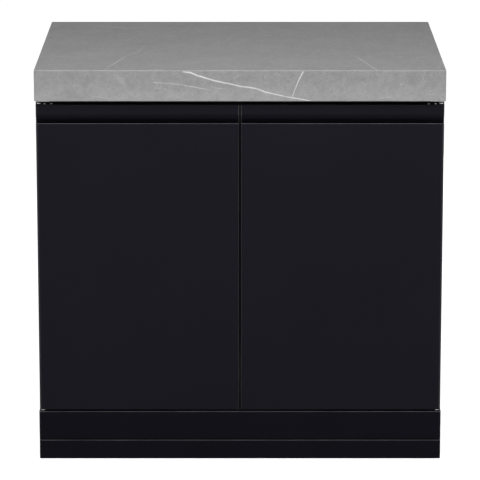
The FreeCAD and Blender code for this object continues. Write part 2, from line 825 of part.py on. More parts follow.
def levelling_foot(place_name, side, foot_y):
    """A foot on a threaded stud, screwed up until its hexagon meets the corner plate."""
    name = f"{place_name}_{side}_foot"
    x = f"{SIDES[side]} * foot_x"
    base = doc.addObject("Part::Cone", f"{name}_cone")
    bind(base, Radius1="foot_pad_radius", Radius2="foot_neck_radius", Height="foot_pad_height")
    place(base, x, foot_y, "0")
    keep(f"{name}_pad", base)
    hexagon = doc.addObject("Part::Prism", f"{name}_hexagon")
    hexagon.Polygon = 6
    bind(hexagon, Circumradius="foot_hex_radius", Height="foot_hex_height")
    place(hexagon, x, foot_y, "foot_pad_height")
    start = "corner_plate_bottom"
    stud = rod(f"{name}_thread", "z", "foot_stud_radius", x, foot_y, start, "foot_stud_length")
    keep(f"{name}_stud", fused(f"{name}_stud", hexagon, stud))


def on_pivot(name, side, radius, low, high):
    """A cylinder on a door's pivot axis, between two levels."""
    return rod(name, "z", radius, f"{SIDES[side]} * pivot_x", "pivot_y", low, f"({high}) - ({low})")


def pivot_bore(name, side, radius, low, high):
    """A tool that bores right through a piece on a door's pivot axis."""
    return on_pivot(name, side, radius, f"({low}) - {CLEAR}", f"({high}) + {CLEAR}")


def pivot_brackets(side, holes):
    """The plates with a welded pin that a door turns on: one over the carcass, one inside the fascia."""
    radius = "pivot_pin_radius"
    name = f"top_pivot_bracket_{side}"
    across = mirrored(side, "pivot_x - bracket_reach", "web_inside - block_play")
    depth = ("pivot_y - bracket_nose", "front_inside + bracket_tail")
    plate = box(f"{name}_plate", across, depth, ("carcass_top", "worktop_bottom"))
    pin = on_pivot(f"{name}_pin", side, radius, "door_top - pivot_engagement", "worktop_bottom")
    keep(name, cut(name, fused(f"{name}_blank", plate, pin), holes))
    name = f"bottom_pivot_bracket_{side}"
    across = mirrored(side, "pivot_x - bracket_reach", "body_half - cap_thickness - block_play")
    depth = ("door_front + fascia_wall + block_play", "carcass_front - fascia_wall - block_play")
    low, high = "bottom_bracket_floor", "bottom_bracket_top"
    plate = box(f"{name}_plate", across, depth, (low, high))
    pin = on_pivot(f"{name}_pin", side, radius, low, "door_bottom + pivot_engagement")
    keep(name, fused(name, plate, pin))


def magnetic_catch():
    """A catch under the front rail, with a magnet behind each door."""
    half = "catch_width / 2"
    depth = ("catch_front", "catch_front + catch_depth")
    body = box("catch_block", (f"-{half}", half), depth, ("catch_bottom", "rail_bottom"))
    magnets = []
    for side in SIDES:
        middle = "(catch_width + magnet_width) / 4"
        across = mirrored(side, f"{middle} - magnet_width / 2", f"{middle} + magnet_width / 2")
        height = ("catch_middle - magnet_height / 2", "catch_middle + magnet_height / 2")
        magnets.append(box(f"{side}_magnet", across, ("catch_front", "catch_front + magnet_depth"), height))
    keep("catch_body", cut("catch_body", body, magnets))
    keep("catch_magnets", compound("magnet_set", magnets))


def door_bumpers():
    """Soft buttons on the front returns, just short of the closed doors."""
    buttons = []
    length = "door_clearance - bumper_air"
    start = f"carcass_front - ({length})"
    levels = {"lower": "door_bottom + bumper_margin", "upper": "pull_bottom - bumper_margin"}
    for side, sign in SIDES.items():
        x = f"{sign} * bumper_x"
        for place_name, level in levels.items():
            name = f"{side}_{place_name}_bumper"
            buttons.append(rod(name, "y", "bumper_radius", x, start, level, length))
    keep("door_bumpers", compound("bumper_set", buttons))


PULL_OUTLINE = {
    "top front": ("door_front", "door_top"),
    "strip foot": ("door_front", "door_top - pull_strip"),
    "knee": ("door_front + pull_depth", "pull_knee"),
    "floor rear": ("door_front + pull_depth", "pull_floor"),
    "floor front": ("door_front + door_sheet + pull_wall", "pull_floor"),
    "flange rear": ("door_front + door_sheet + pull_wall", "pull_flange"),
    "flange front": ("door_front + door_sheet", "pull_flange"),
    "bottom front": ("door_front + door_sheet", "pull_bottom"),
    "bottom rear": ("door_back", "pull_bottom"),
    "top rear": ("door_back", "door_top"),
}

PULL_CHAMBER = [
    ("door_front + pull_wall", "door_top - pull_wall"),
    ("door_front + pull_wall", "door_top - pull_strip - pull_wall * pull_slope + pull_shift"),
    ("door_front + pull_depth + pull_wall", "pull_knee - pull_wall * pull_slope + pull_shift"),
    ("door_front + pull_depth + pull_wall", "pull_floor"),
    ("door_back - pull_wall", "pull_floor"),
    ("door_back - pull_wall", "door_top - pull_wall"),
]


def pull_section(name, start, length, hollow):
    """A length of the finger-pull profile: a flush strip, a slanted recess and a floor behind the lip."""
    loops = [list(PULL_OUTLINE.values())]
    if hollow:
        loops.append(PULL_CHAMBER)
    body = extrusion(name, "YZ", start, length, *loops)
    spot = PULL_OUTLINE
    rounded(body, f"{name}_cove", "pull_cove", "x", [spot["knee"]])
    rounded(body, f"{name}_floor_bends", "pull_cove / 3", "x", [spot["floor rear"], spot["floor front"]])
    rounded(body, f"{name}_arrises", "door_round", "x", [spot["top front"], spot["strip foot"]])
    rounded(body, f"{name}_flange_round", "lip_round", "x", [spot["flange rear"], spot["flange front"]])
    return body


def door_skin(side):
    """The door's front: a folded tray, open at the back and behind the finger pull."""
    name = f"door_skin_{side}"
    inner, outer = mirrored(side, "door_inner", "door_outer")
    body = new_body(f"{name}_tray")
    block = [(inner, "door_front"), (outer, "door_front"), (outer, "liner_front"), (inner, "liner_front")]
    pad(body, outline(body, f"{name}_block", "XY", "door_bottom", block), "pull_lip - door_bottom")
    floor = "door_bottom + door_sheet"
    lid = f"pull_lip + {CLEAR}"
    walls = (f"({inner}) + door_sheet", f"({outer}) - door_sheet")
    past = (f"({inner}) - {CLEAR}", f"({outer}) + {CLEAR}")
    hollow = [
        (walls[0], floor),
        (walls[1], floor),
        (walls[1], "pull_bottom"),
        (past[1], "pull_bottom"),
        (past[1], lid),
        (past[0], lid),
        (past[0], "pull_bottom"),
        (walls[0], "pull_bottom"),
    ]
    inside = outline(body, f"{name}_hollow", "XZ", "-liner_front", hollow)
    pocket(body, inside, "liner_front - door_front - door_sheet", towards_normal=True)
    uprights = [(inner, "door_front"), (outer, "door_front")]
    rounded(body, f"{name}_upright_arrises", "door_round", "z", uprights)
    rounded(body, f"{name}_lower_arris", "door_round", "x", [("door_front", "door_bottom")])
    rounded(body, f"{name}_lip", "lip_round", "x", [("door_front", "pull_lip")])
    hole = pivot_bore(f"{name}_pin_hole", side, "pivot_hole", "door_bottom", floor)
    keep(name, cut(name, body, [hole]))


def washer(name, side, radius, low, high):
    """A ring round a pivot pin."""
    disc = on_pivot(f"{name}_disc", side, radius, low, high)
    return cut(name, disc, [pivot_bore(f"{name}_bore", side, "pivot_bore", low, high)])


def pivot_block(name, side, depth, low, high, holes):
    """A plastic block in a corner of a door, bored for the pivot pin."""
    end = "door_outer - pull_cap"
    across = mirrored(side, f"{end} - pivot_block_length", f"{end} - block_play")
    blank = box(f"{name}_blank", across, depth, (low, high))
    bore = pivot_bore(f"{name}_bore", side, "pivot_bore", low, high)
    keep(name, cut(name, blank, [bore] + holes))


def door(side):
    """One door with its finger pull, liner, pivot fittings and strike plate."""
    sign = SIDES[side]
    door_skin(side)
    edges = mirrored(side, "door_inner + liner_inset", "door_outer - liner_inset")
    height = ("door_bottom + liner_inset", "pull_bottom - liner_inset")
    keep(f"door_liner_{side}", box(f"door_liner_{side}", edges, ("liner_front", "door_back"), height))

    screws = Fixings(f"block_screw_{side}", "z", -1, "pull_wall + pivot_block_height / 2")
    for step in (0, 1):
        inset = f"block_screw_first + {step} * block_screw_pitch"
        screws.add("block", f"{sign} * (body_half - ({inset}))", "pivot_y", "door_top")
    keep(f"pivot_screws_{side}", compound(f"block_screw_set_{side}", screws.screws))

    ends = mirrored(side, "door_inner", "door_outer")
    start = f"({ends[0]}) + pull_cap"
    long = f"({ends[1]}) - pull_cap - ({start})"
    profile = pull_section(f"pull_profile_{side}", start, long, hollow=True)
    hole = pivot_bore(f"pull_pin_hole_{side}", side, "pivot_hole", "block_top", "door_top")
    keep(f"finger_pull_{side}", cut(f"finger_pull_{side}", profile, [hole] + screws.at("block")))
    caps = [
        pull_section(f"pull_cap_{side}_1", ends[0], "pull_cap", hollow=False),
        pull_section(f"pull_cap_{side}_2", f"({ends[1]}) - pull_cap", "pull_cap", hollow=False),
    ]
    keep(f"pull_end_caps_{side}", compound(f"pull_cap_set_{side}", caps))

    top_depth = ("block_front", "door_back - pull_wall - block_play")
    pivot_block(f"top_pivot_block_{side}", side, top_depth, "block_bottom", "block_top", screws.at("block"))
    low = "door_bottom + door_sheet"
    low_depth = ("door_front + door_sheet", "liner_front")
    pivot_block(f"bottom_pivot_block_{side}", side, low_depth, low, f"{low} + pivot_block_height", [])
    rings = [
        washer(f"thrust_washer_{side}", side, "thrust_washer_radius", "fascia_top", "door_bottom"),
        washer(f"head_washer_{side}", side, "head_washer_radius", "door_top", "carcass_top"),
    ]
    keep(f"pivot_washers_{side}", compound(f"washer_set_{side}", rings))
    middle = "(catch_width + magnet_width) / 4"
    across = mirrored(side, f"{middle} - strike_width / 2", f"{middle} + strike_width / 2")
    level = ("catch_bottom", "rail_bottom")
    plate = box(f"strike_plate_{side}", across, ("door_back", "door_back + strike_thickness"), level)
    keep(f"strike_plate_{side}", plate)


def carcass_fixings():
    """Every screw of the carcass, with its holes."""
    stack = "2 * sheet + screw_bite"
    rail = Fixings("rail_screw", "y", 1, stack)
    fascia_set = Fixings("fascia_screw", "y", -1, f"{stack} + fascia_wall")
    back = Fixings("back_screw", "y", -1, f"back_sheet + {stack}")
    base = Fixings("plinth_screw", "z", 1, "plinth_sheet + sheet + screw_bite")
    bracket = Fixings("bracket_screw", "z", 1, "sheet + pad_thickness - screw_play")
    top = Fixings("worktop_screw", "z", 1, "wood_screw_length")
    for side, sign in SIDES.items():
        x = f"{sign} * return_middle"
        for part in PAIR:
            rail.add(side, f"{sign} * rail_screw_x", "carcass_front", f"carcass_top - {part} * rail_height")
            fascia_set.add(side, x, "front_inside + sheet", f"fascia_top - {part} * floor_flange")
        back.add(f"{side} floor", x, "carcass_rear", "fascia_top - floor_flange / 2")
        back.add(f"{side} rail", x, "carcass_rear", "carcass_top - rail_height / 2")
        back.add(f"{side} edge", x, "carcass_rear", "plinth_top + return_width / 2")
        for quarter in (1, 2, 3):
            level = f"fascia_top + {quarter} / 4 * (rail_bottom - fascia_top)"
            back.add(f"{side} edge", x, "carcass_rear", level)
        back.add("middle floor", f"{sign} * body_half / 2", "carcass_rear", "fascia_top - floor_flange / 2")
        back.add("middle rail", f"{sign} * body_half / 2", "carcass_rear", "carcass_top - rail_height / 2")
        for third in (-1, 0, 1):
            base.add(side, x, f"{third} * plinth_screw_pitch", "plinth_top - plinth_sheet")
        bracket_x = f"{sign} * (pivot_x - bracket_screw_inset)"
        for part in PAIR:
            bracket.add(side, bracket_x, f"front_inside + {part} * bracket_tail", "carcass_top - sheet")
        rail_middles = {"front": "front_inside + rail_depth / 2", "rear": "rear_inside - rail_depth / 2"}
        for place_name, y in rail_middles.items():
            top.add(place_name, f"{sign} * body_half / 2", y, "carcass_top - sheet")
    return rail, fascia_set, back, base, bracket, top


def build():
    """Builds every sub-part."""
    fill_sheet()
    rail, fascia_set, back, base, bracket, top = carcass_fixings()
    both = tuple(SIDES)

    worktop_slab()
    for name, sign in (("front", -1), ("rear", 1)):
        worktop_apron(f"worktop_apron_{name}", "YZ", sign, "half_depth", "half_width")
    for side, sign in SIDES.items():
        worktop_apron(f"worktop_apron_{side}", "XZ", sign, "half_width", "half_depth")
    worktop_battens(top)
    worktop_pads()

    for side in SIDES:
        holes = rail.at(side) + fascia_set.at(side) + base.at(side)
        side_panel(side, holes + back.at(f"{side} floor", f"{side} rail", f"{side} edge"))
    level = ("rail_bottom", "carcass_top")
    lips = ("rail_lip", "rail_depth")
    front_holes = rail.at(*both) + bracket.at(*both) + top.at("front")
    cross_rail("top_rail_front", "span_half", ("front_inside", *level), lips, 1, "sheet", front_holes)
    rear_holes = back.at("left rail", "right rail", "middle rail") + top.at("rear")
    cross_rail("top_rail_rear", "span_half", ("rear_inside", *level), lips, -1, "sheet", rear_holes)
    floor_holes = fascia_set.at(*both) + back.at("left floor", "right floor", "middle floor")
    ends = ("front_inside", "rear_inside")
    tray("floor_panel", "span_half", "fascia_top", *ends, "floor_flange", floor_holes)
    back_panel(back.at(*back.holes))
    service_grommet()
    shelf_pilasters()
    shelf_pins()
    tray("shelf", "shelf_half", "shelf_top", "shelf_front", "shelf_back", "shelf_flange", [])

    wall = ("bottom_bracket_top", "fascia_top")
    pin_holes = [pivot_bore(f"fascia_pin_hole_{side}", side, "pivot_hole", *wall) for side in SIDES]
    fascia(fascia_set.at(*both) + pin_holes)
    plinth(base)
    for place_name, foot_y in (("front", "foot_front"), ("rear", "foot_rear")):
        for side in SIDES:
            levelling_foot(place_name, side, foot_y)

    for side in SIDES:
        pivot_brackets(side, bracket.at(side))
        door(side)
    magnetic_catch()
    door_bumpers()
    keep("back_panel_screws", compound("back_screw_set", back.screws))
    keep("worktop_screws", compound("worktop_screw_set", top.screws))
    others = rail.screws + fascia_set.screws + base.screws + bracket.screws
    keep("carcass_screws", compound("carcass_screw_set", others))


def check():
    """Stops if any object is in error or any sub-part lacks a sound shape."""
    doc.recompute()
    for item in doc.Objects:
        if "Invalid" in item.State or "Error" in item.State:
            raise RuntimeError(f"{item.Label}: {item.State}")
    for name, piece in pieces.items():
        shape = piece.Shape
        if shape.isNull() or not shape.isValid() or not shape.Solids:
            raise RuntimeError(f"{name}: the shape is not sound")


def write():
    """Writes one file for each sub-part."""
    os.makedirs("parts", exist_ok=True)
    for name, piece in pieces.items():
        piece.Shape.exportStep(f"parts/{name}.step")


build()
check()
write()
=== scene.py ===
"""Looks of a two-door outdoor kitchen unit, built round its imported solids.

The solids keep their shapes and take procedural finishes. The screws and the threaded studs of the
feet are made anew with geometry nodes, and the rings and bushes of the door pivots are turned.
Lengths are in metres, X runs to the right, the doors face -Y and the floor is Z = 0.
"""

import logging
import math
from collections.abc import Iterable, Sequence
from dataclasses import dataclass
from enum import Enum
from functools import cache

import bpy
from bpy.types import ID, Material, Mesh, Node, NodeTree, Object
from bpy.types import NodeOutputs as Sockets
from bpy.types import NodeSocket as Socket
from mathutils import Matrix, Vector


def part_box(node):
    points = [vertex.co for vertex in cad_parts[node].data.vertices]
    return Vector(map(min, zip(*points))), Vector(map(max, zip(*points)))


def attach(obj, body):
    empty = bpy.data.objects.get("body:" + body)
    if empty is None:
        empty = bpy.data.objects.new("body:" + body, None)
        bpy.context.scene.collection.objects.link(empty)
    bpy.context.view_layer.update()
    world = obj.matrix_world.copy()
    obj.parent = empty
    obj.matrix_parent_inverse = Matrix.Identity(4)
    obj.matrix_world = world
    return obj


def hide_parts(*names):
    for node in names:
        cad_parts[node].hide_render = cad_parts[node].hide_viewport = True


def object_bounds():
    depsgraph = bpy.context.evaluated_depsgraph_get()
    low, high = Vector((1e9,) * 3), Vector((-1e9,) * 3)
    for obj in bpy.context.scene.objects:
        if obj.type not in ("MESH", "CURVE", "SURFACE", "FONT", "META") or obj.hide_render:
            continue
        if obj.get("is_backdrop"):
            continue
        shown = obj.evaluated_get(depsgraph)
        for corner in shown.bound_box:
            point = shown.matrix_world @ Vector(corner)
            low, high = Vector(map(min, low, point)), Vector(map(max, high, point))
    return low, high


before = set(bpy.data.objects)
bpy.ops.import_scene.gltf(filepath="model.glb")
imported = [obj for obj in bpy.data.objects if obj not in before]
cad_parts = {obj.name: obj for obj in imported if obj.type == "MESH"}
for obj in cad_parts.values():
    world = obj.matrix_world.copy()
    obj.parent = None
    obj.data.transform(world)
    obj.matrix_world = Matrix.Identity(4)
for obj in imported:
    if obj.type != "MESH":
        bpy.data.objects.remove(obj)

LOG = logging.getLogger("outdoor_kitchen_unit")
CABINET = "cabinet"
RING_STEPS = 48
UPRIGHT_BELOW = 0.5
SPOT_DIGITS = 6
MM = 0.001
NOISE_SPAN = (0.3, 0.7)
NOISE_MIDDLE = 0.5

Triple = tuple[float, float, float]
Span = tuple[float, float]
Colour = tuple[float, float, float, float]
Source = Socket | float | Sequence[float]


def rgb(red: float, green: float, blue: float) -> Colour:
    """An opaque colour."""
    return (red, green, blue, 1.0)


def grey(level: float) -> Colour:
    """An opaque grey."""
    return rgb(level, level, level)


class NodeSheet:
    """One node tree, with short ways to add nodes and join them."""

    SCALAR_RESULTS = ("DOT_PRODUCT", "LENGTH", "DISTANCE")
    # A Mix node's sockets share their names, so those for colours go by place.
    MIX_INPUTS = (0, 6, 7)
    MIX_RESULT = 2

    def __init__(self, tree: NodeTree) -> None:
        """Keep the tree that the nodes go into."""
        self.tree = tree

    def feed(self, socket: Socket, source: Source) -> None:
        """Join a socket to another node's output, or set its value.

        Args:
            socket: The input that is fed.
            source: An output, a number or a vector.
        """
        if isinstance(source, Socket):
            self.tree.links.new(source, socket)
        else:
            socket.default_value = source

    def add(self, kind: str, inputs: dict[str, Source] | None = None,
            **settings: object) -> Node:
        """Add a node.

        Args:
            kind: The node type's name.
            inputs: What each named input takes.
            settings: The node's own options.

        Returns:
            The new node.
        """
        node = self.tree.nodes.new(kind)
        for name, setting in settings.items():
            setattr(node, name, setting)
        for name, source in (inputs or {}).items():
            self.feed(node.inputs[name], source)
        return node

    def first(self, kind: str, inputs: dict[str, Source] | None = None,
              **settings: object) -> Socket:
        """Add a node and hand on the first of its outputs."""
        return self.add(kind, inputs, **settings).outputs[0]

    def _sum(self, kind: str, operation: str, sources: Sequence[Source]) -> Sockets:
        """Add a node that does a sum.

        Args:
            kind: The node type's name.
            operation: The sum to do.
            sources: What goes in, in order.

        Returns:
            The node's outputs.
        """
        node = self.add(kind, operation=operation)
        for socket, source in zip(node.inputs, sources):
            self.feed(socket, source)
        return node.outputs

    def math(self, operation: str, *sources: Source) -> Socket:
        """Do a sum with numbers, such as ADD."""
        return self._sum("ShaderNodeMath", operation, sources)[0]

    def vector(self, operation: str, *sources: Source) -> Socket:
        """Do a sum with vectors, such as SUBTRACT, which may end in a number."""
        result = "Value" if operation in self.SCALAR_RESULTS else "Vector"
        return self._sum("ShaderNodeVectorMath", operation, sources)[result]

    def product(self, first: Source, second: Source) -> Socket:
        """Multiply two numbers."""
        return self.math("MULTIPLY", first, second)

    def per_metre(self, size: Source) -> Socket:
        """How many lumps of a size go into a metre."""
        return self.math("DIVIDE", 1.0, size)

    def split(self, vector: Source) -> Sockets:
        """The X, Y and Z of a vector."""
        return self.add("ShaderNodeSeparateXYZ", {"Vector": vector}).outputs

    def combine(self, **parts: Source) -> Socket:
        """The vector of an X, a Y and a Z, each 0 where it isn't given."""
        return self.first("ShaderNodeCombineXYZ", parts)

    def inset(self, point: Source, low: Source, high: Source) -> Sockets:
        """How far a point is from the nearer sides of a box, along X, Y and Z."""
        sides = self.vector("SUBTRACT", point, low), self.vector("SUBTRACT", high, point)
        return self.split(self.vector("MINIMUM", *sides))

    def ramp(self, value: Source, low: Source, high: Source, start: Source = 0.0,
             end: Source = 1.0, smooth: bool = False) -> Socket:
        """Carry a value from one range over to another.

        Args:
            value: What is carried over.
            low: The value that gives start.
            high: The value that gives end.
            start: The result at low.
            end: The result at high.
            smooth: Whether the result eases in and out.

        Returns:
            The result.
        """
        inputs = {"Value": value, "From Min": low, "From Max": high, "To Min": start, "To Max": end}
        curve = "SMOOTHSTEP" if smooth else "LINEAR"
        return self.first("ShaderNodeMapRange", inputs, interpolation_type=curve)

    def noise(self, point: Source, scale: Source, detail: float = 4.0,
              roughness: float = 0.55) -> Socket:
        """Read a noise from 0 to 1 at a point, its scale in lumps per metre."""
        inputs = {"Vector": point, "Scale": scale, "Detail": detail, "Roughness": roughness}
        return self.first("ShaderNodeTexNoise", inputs)

    def blend(self, share: Source, first: Source, second: Source) -> Socket:
        """Mix two colours.

        Args:
            share: How much of the second shows.
            first: The colour at share 0.
            second: The colour at share 1.

        Returns:
            The mixed colour.
        """
        node = self.add("ShaderNodeMix", data_type="RGBA")
        for index, source in zip(self.MIX_INPUTS, (share, first, second)):
            self.feed(node.inputs[index], source)
        return node.outputs[self.MIX_RESULT]


class Port(Enum):
    """What a group's socket carries."""

    VALUE = "NodeSocketFloat"
    POINT = "NodeSocketVector"
    SHAPE = "NodeSocketGeometry"
    FINISH = "NodeSocketMaterial"

    def each(self, *names: str) -> dict[str, "Port"]:
        """Sockets that all carry this."""
        return dict.fromkeys(names, self)


class Group(NodeSheet):
    """A node group, built the first time that it is wanted."""

    name: str = ""
    kind: str = ""
    takes: dict[str, Port] = {}
    gives: dict[str, Port] = {}

    def __init__(self, tree: NodeTree) -> None:
        """Give a tree its named inputs and outputs, and lay its nodes.

        Args:
            tree: The empty group.
        """
        super().__init__(tree)
        for way, ports in (("INPUT", self.takes), ("OUTPUT", self.gives)):
            for name, port in ports.items():
                tree.interface.new_socket(name=name, in_out=way, socket_type=port.value)
        self.given = self.add("NodeGroupInput").outputs
        result = self.add("NodeGroupOutput").inputs
        for name, source in self.wire().items():
            self.feed(result[name], source)

    def wire(self) -> dict[str, Socket]:
        """Lay the group's nodes and tell what each output takes."""
        raise NotImplementedError

    @classmethod
    def built(cls) -> NodeTree:
        """The group's tree."""
        groups = bpy.data.node_groups
        return groups.get(cls.name) or cls(groups.new(cls.name, cls.kind)).tree


@dataclass(frozen=True)
class Wash:
    """A thin wash of colour: the span of a pattern over which it comes in, and its strength."""

    low: float
    high: float
    share: float


class Surface(NodeSheet):
    """The nodes of a material: its shader, and the place that its patterns read."""

    def __init__(self, name: str) -> None:
        """Start the material.

        Args:
            name: Its name.
        """
        self.material = bpy.data.materials.new(name)
        self.material.use_nodes = True
        super().__init__(self.material.node_tree)
        self.tree.nodes.clear()
        shader = self.add("ShaderNodeBsdfPrincipled")
        self.add("ShaderNodeOutputMaterial", {"Surface": shader.outputs["BSDF"]})
        self.shader = shader.inputs
        self.point = self.add("ShaderNodeTexCoord").outputs["Object"]

    def wash(self, ground: Source, pattern: Source, wash: Wash, colour: Colour) -> Socket:
        """Lay a wash of colour over a ground, where a pattern brings it in."""
        share = self.product(self.ramp(pattern, wash.low, wash.high), wash.share)
        return self.blend(share, ground, colour)


class Effect(Group):
    """A surface effect that several finishes share."""

    kind = "ShaderNodeTree"

    @classmethod
    def place(cls, surface: Surface, inputs: dict[str, Source]) -> Sockets:
        """Put the effect in a material, with its values there, and hand on what it gives."""
        known = {"Point": surface.point, **inputs}
        return surface.add("ShaderNodeGroup", known, node_tree=cls.built()).outputs


class CloudyTone(Effect):
    """Tone that drifts in broad clouds, middling mottle and fine grain."""

    name = "cloudy_tone"
    takes = Port.POINT.each("Point") | Port.VALUE.each("Broad Size", "Middle Size", "Fine Size")
    gives = Port.VALUE.each("Broad", "Middle", "Fine")
    DETAIL_AND_ROUGHNESS = {"Broad": (3.0, 0.55), "Middle": (5.0, 0.66), "Fine": (2.0, 0.55)}

    def wire(self) -> dict[str, Socket]:
        """Lay one noise for each size.

        Returns:
            The noises.
        """
        results = {}
        for name, character in self.DETAIL_AND_ROUGHNESS.items():
            scale = self.per_metre(self.given[f"{name} Size"])
            results[name] = self.noise(self.given["Point"], scale, *character)
        return results


class PaintedEdgeHighlight(Effect):
    """Painted highlights along a box-shaped piece's edges, and along its upper edges alone."""

    name = "painted_edge_highlight"
    takes = Port.POINT.each("Point", "Low", "High") | Port.VALUE.each("Width", "Patch Size")
    gives = Port.VALUE.each("Mask", "Upper")
    PATCH_WIDTHS = (0.8, 1.15)
    UPPER_FADE = 2.0

    def wire(self) -> dict[str, Socket]:
        """Measure how far the second nearest face of the box is, which is 0 along an edge.

        Returns:
            The two masks of painted highlight.
        """
        point, high, width = (self.given[name] for name in ("Point", "High", "Width"))
        inset = self.inset(point, self.given["Low"], high)
        nearer = self.math("MINIMUM", inset["X"], inset["Y"])
        farther = self.math("MAXIMUM", inset["X"], inset["Y"])
        second = self.math("MAXIMUM", nearer, self.math("MINIMUM", farther, inset["Z"]))
        patches = self.noise(point, self.per_metre(self.given["Patch Size"]))
        reach = self.product(width, self.ramp(patches, *NOISE_SPAN, *self.PATCH_WIDTHS))
        mask = self.ramp(second, 0.0, reach, 1.0, 0.0, smooth=True)
        drop = self.math("SUBTRACT", self.split(high)["Z"], self.split(point)["Z"])
        upper = self.ramp(drop, width, self.product(width, self.UPPER_FADE), 1.0, 0.0)
        return {"Mask": mask, "Upper": self.product(mask, upper)}


class StoneVein(Effect):
    """A pale vein along one straight run across a board."""

    name = "stone_vein"
    takes = Port.POINT.each("Point", "Start", "End", "Board") | Port.VALUE.each(
        "Start Width", "End Width", "Start Strength", "End Strength")
    gives = Port.VALUE.each("Mask")
    CORE_SHARE = 0.25

    def wire(self) -> dict[str, Socket]:
        """Measure the distance to the run in the board's plane.

        Returns:
            The mask.
        """
        given = self.given
        reach, run = (self.vector("MULTIPLY", self.vector("SUBTRACT", given[name], given["Start"]),
                                  given["Board"]) for name in ("Point", "End"))
        along = self.vector("DOT_PRODUCT", reach, run)
        share = self.ramp(along, 0.0, self.vector("DOT_PRODUCT", run, run))
        away = self.vector("DISTANCE", reach, self.vector("MULTIPLY", run, share))
        width, strength = (self.ramp(share, 0.0, 1.0, given[f"Start {name}"], given[f"End {name}"])
                           for name in ("Width", "Strength"))
        core = self.product(width, self.CORE_SHARE)
        return {"Mask": self.product(self.ramp(away, core, width, 1.0, 0.0, smooth=True), strength)}


class CoatGrain(Effect):
    """The fine pebbled skin of a coat, a moulding or a honed face."""

    name = "coat_grain"
    takes = Port.POINT.each("Point") | Port.VALUE.each("Grain Size")
    gives = Port.VALUE.each("Height")
    DETAIL = 1.0
    FINER = 3.7
    FINE_SHARE = 0.35

    def wire(self) -> dict[str, Socket]:
        """Lay a soft noise with a finer one on it.

        Returns:
            The grain's height.
        """
        scale = self.per_metre(self.given["Grain Size"])
        soft, fine = (self.noise(self.given["Point"], size, self.DETAIL)
                      for size in (scale, self.product(scale, self.FINER)))
        return {"Height": self.math("MULTIPLY_ADD", fine, self.FINE_SHARE, soft)}


class DrawnLines(Effect):
    """Fine lines left by brushing, rolling or sawing."""

    name = "drawn_lines"
    takes = Port.POINT.each("Point", "Lines")
    gives = Port.VALUE.each("Streak")
    DETAIL = 4.0
    ROUGHNESS = 0.65

    def wire(self) -> dict[str, Socket]:
        """Stretch a noise along the lines."""
        stretched = self.vector("MULTIPLY", self.given["Point"], self.given["Lines"])
        return {"Streak": self.noise(stretched, 1.0, self.DETAIL, self.ROUGHNESS)}


@dataclass(frozen=True, kw_only=True)
class Finish:
    """What every finish has: its colour, the sizes of its drifting tone, its gloss and relief."""

    name: str
    colour: Colour
    broad_size: float
    middle_size: float
    fine_size: float
    roughness: Span
    specular: float = 0.5
    relief: float

    def tone(self, surface: Surface) -> Sockets:
        """Lay the finish's drifting tone."""
        return CloudyTone.place(surface, {
            "Broad Size": self.broad_size, "Middle Size": self.middle_size,
            "Fine Size": self.fine_size})

    def grain(self, surface: Surface) -> Socket:
        """Lay the finish's pebbled skin."""
        return CoatGrain.place(surface, {"Grain Size": self.fine_size})["Height"]

    def settle(self, surface: Surface, ground: Source, dull: Source, height: Source) -> Material:
        """Give the shader its colour, its gloss and a fine relief.

        Args:
            surface: The material's nodes.
            ground: The colour.
            dull: The pattern that its roughness follows.
            height: The relief, from 0 to 1.

        Returns:
            The finished material.
        """
        shader = surface.shader
        surface.feed(shader["Base Color"], ground)
        rough = surface.ramp(dull, *NOISE_SPAN, *self.roughness)
        surface.feed(shader["Roughness"], rough)
        shader["Specular IOR Level"].default_value = self.specular
        bump = {"Height": height, "Strength": 1.0, "Distance": self.relief}
        surface.feed(shader["Normal"], surface.first("ShaderNodeBump", bump))
        return surface.material


@dataclass(frozen=True)
class Vein:
    """A vein across a board: points along it, each with its strength there, and half its widths."""

    points: tuple[Triple, ...]
    start_width: float
    end_width: float


class Board(Enum):
    """A stone board's face: which axes run along it."""

    TOP = (0, 1)
    FRONT_OR_REAR = (0, 2)
    SIDE = (1, 2)

    def point(self, spot: Sequence[float]) -> Triple:
        """Find the place of a point on the board, with 0 through the board.

        Args:
            spot: Its two lengths along the board.

        Returns:
            The place.
        """
        place = [0.0, 0.0, 0.0]
        for axis, length in zip(self.value, spot):
            place[axis] = length
        return tuple(place)


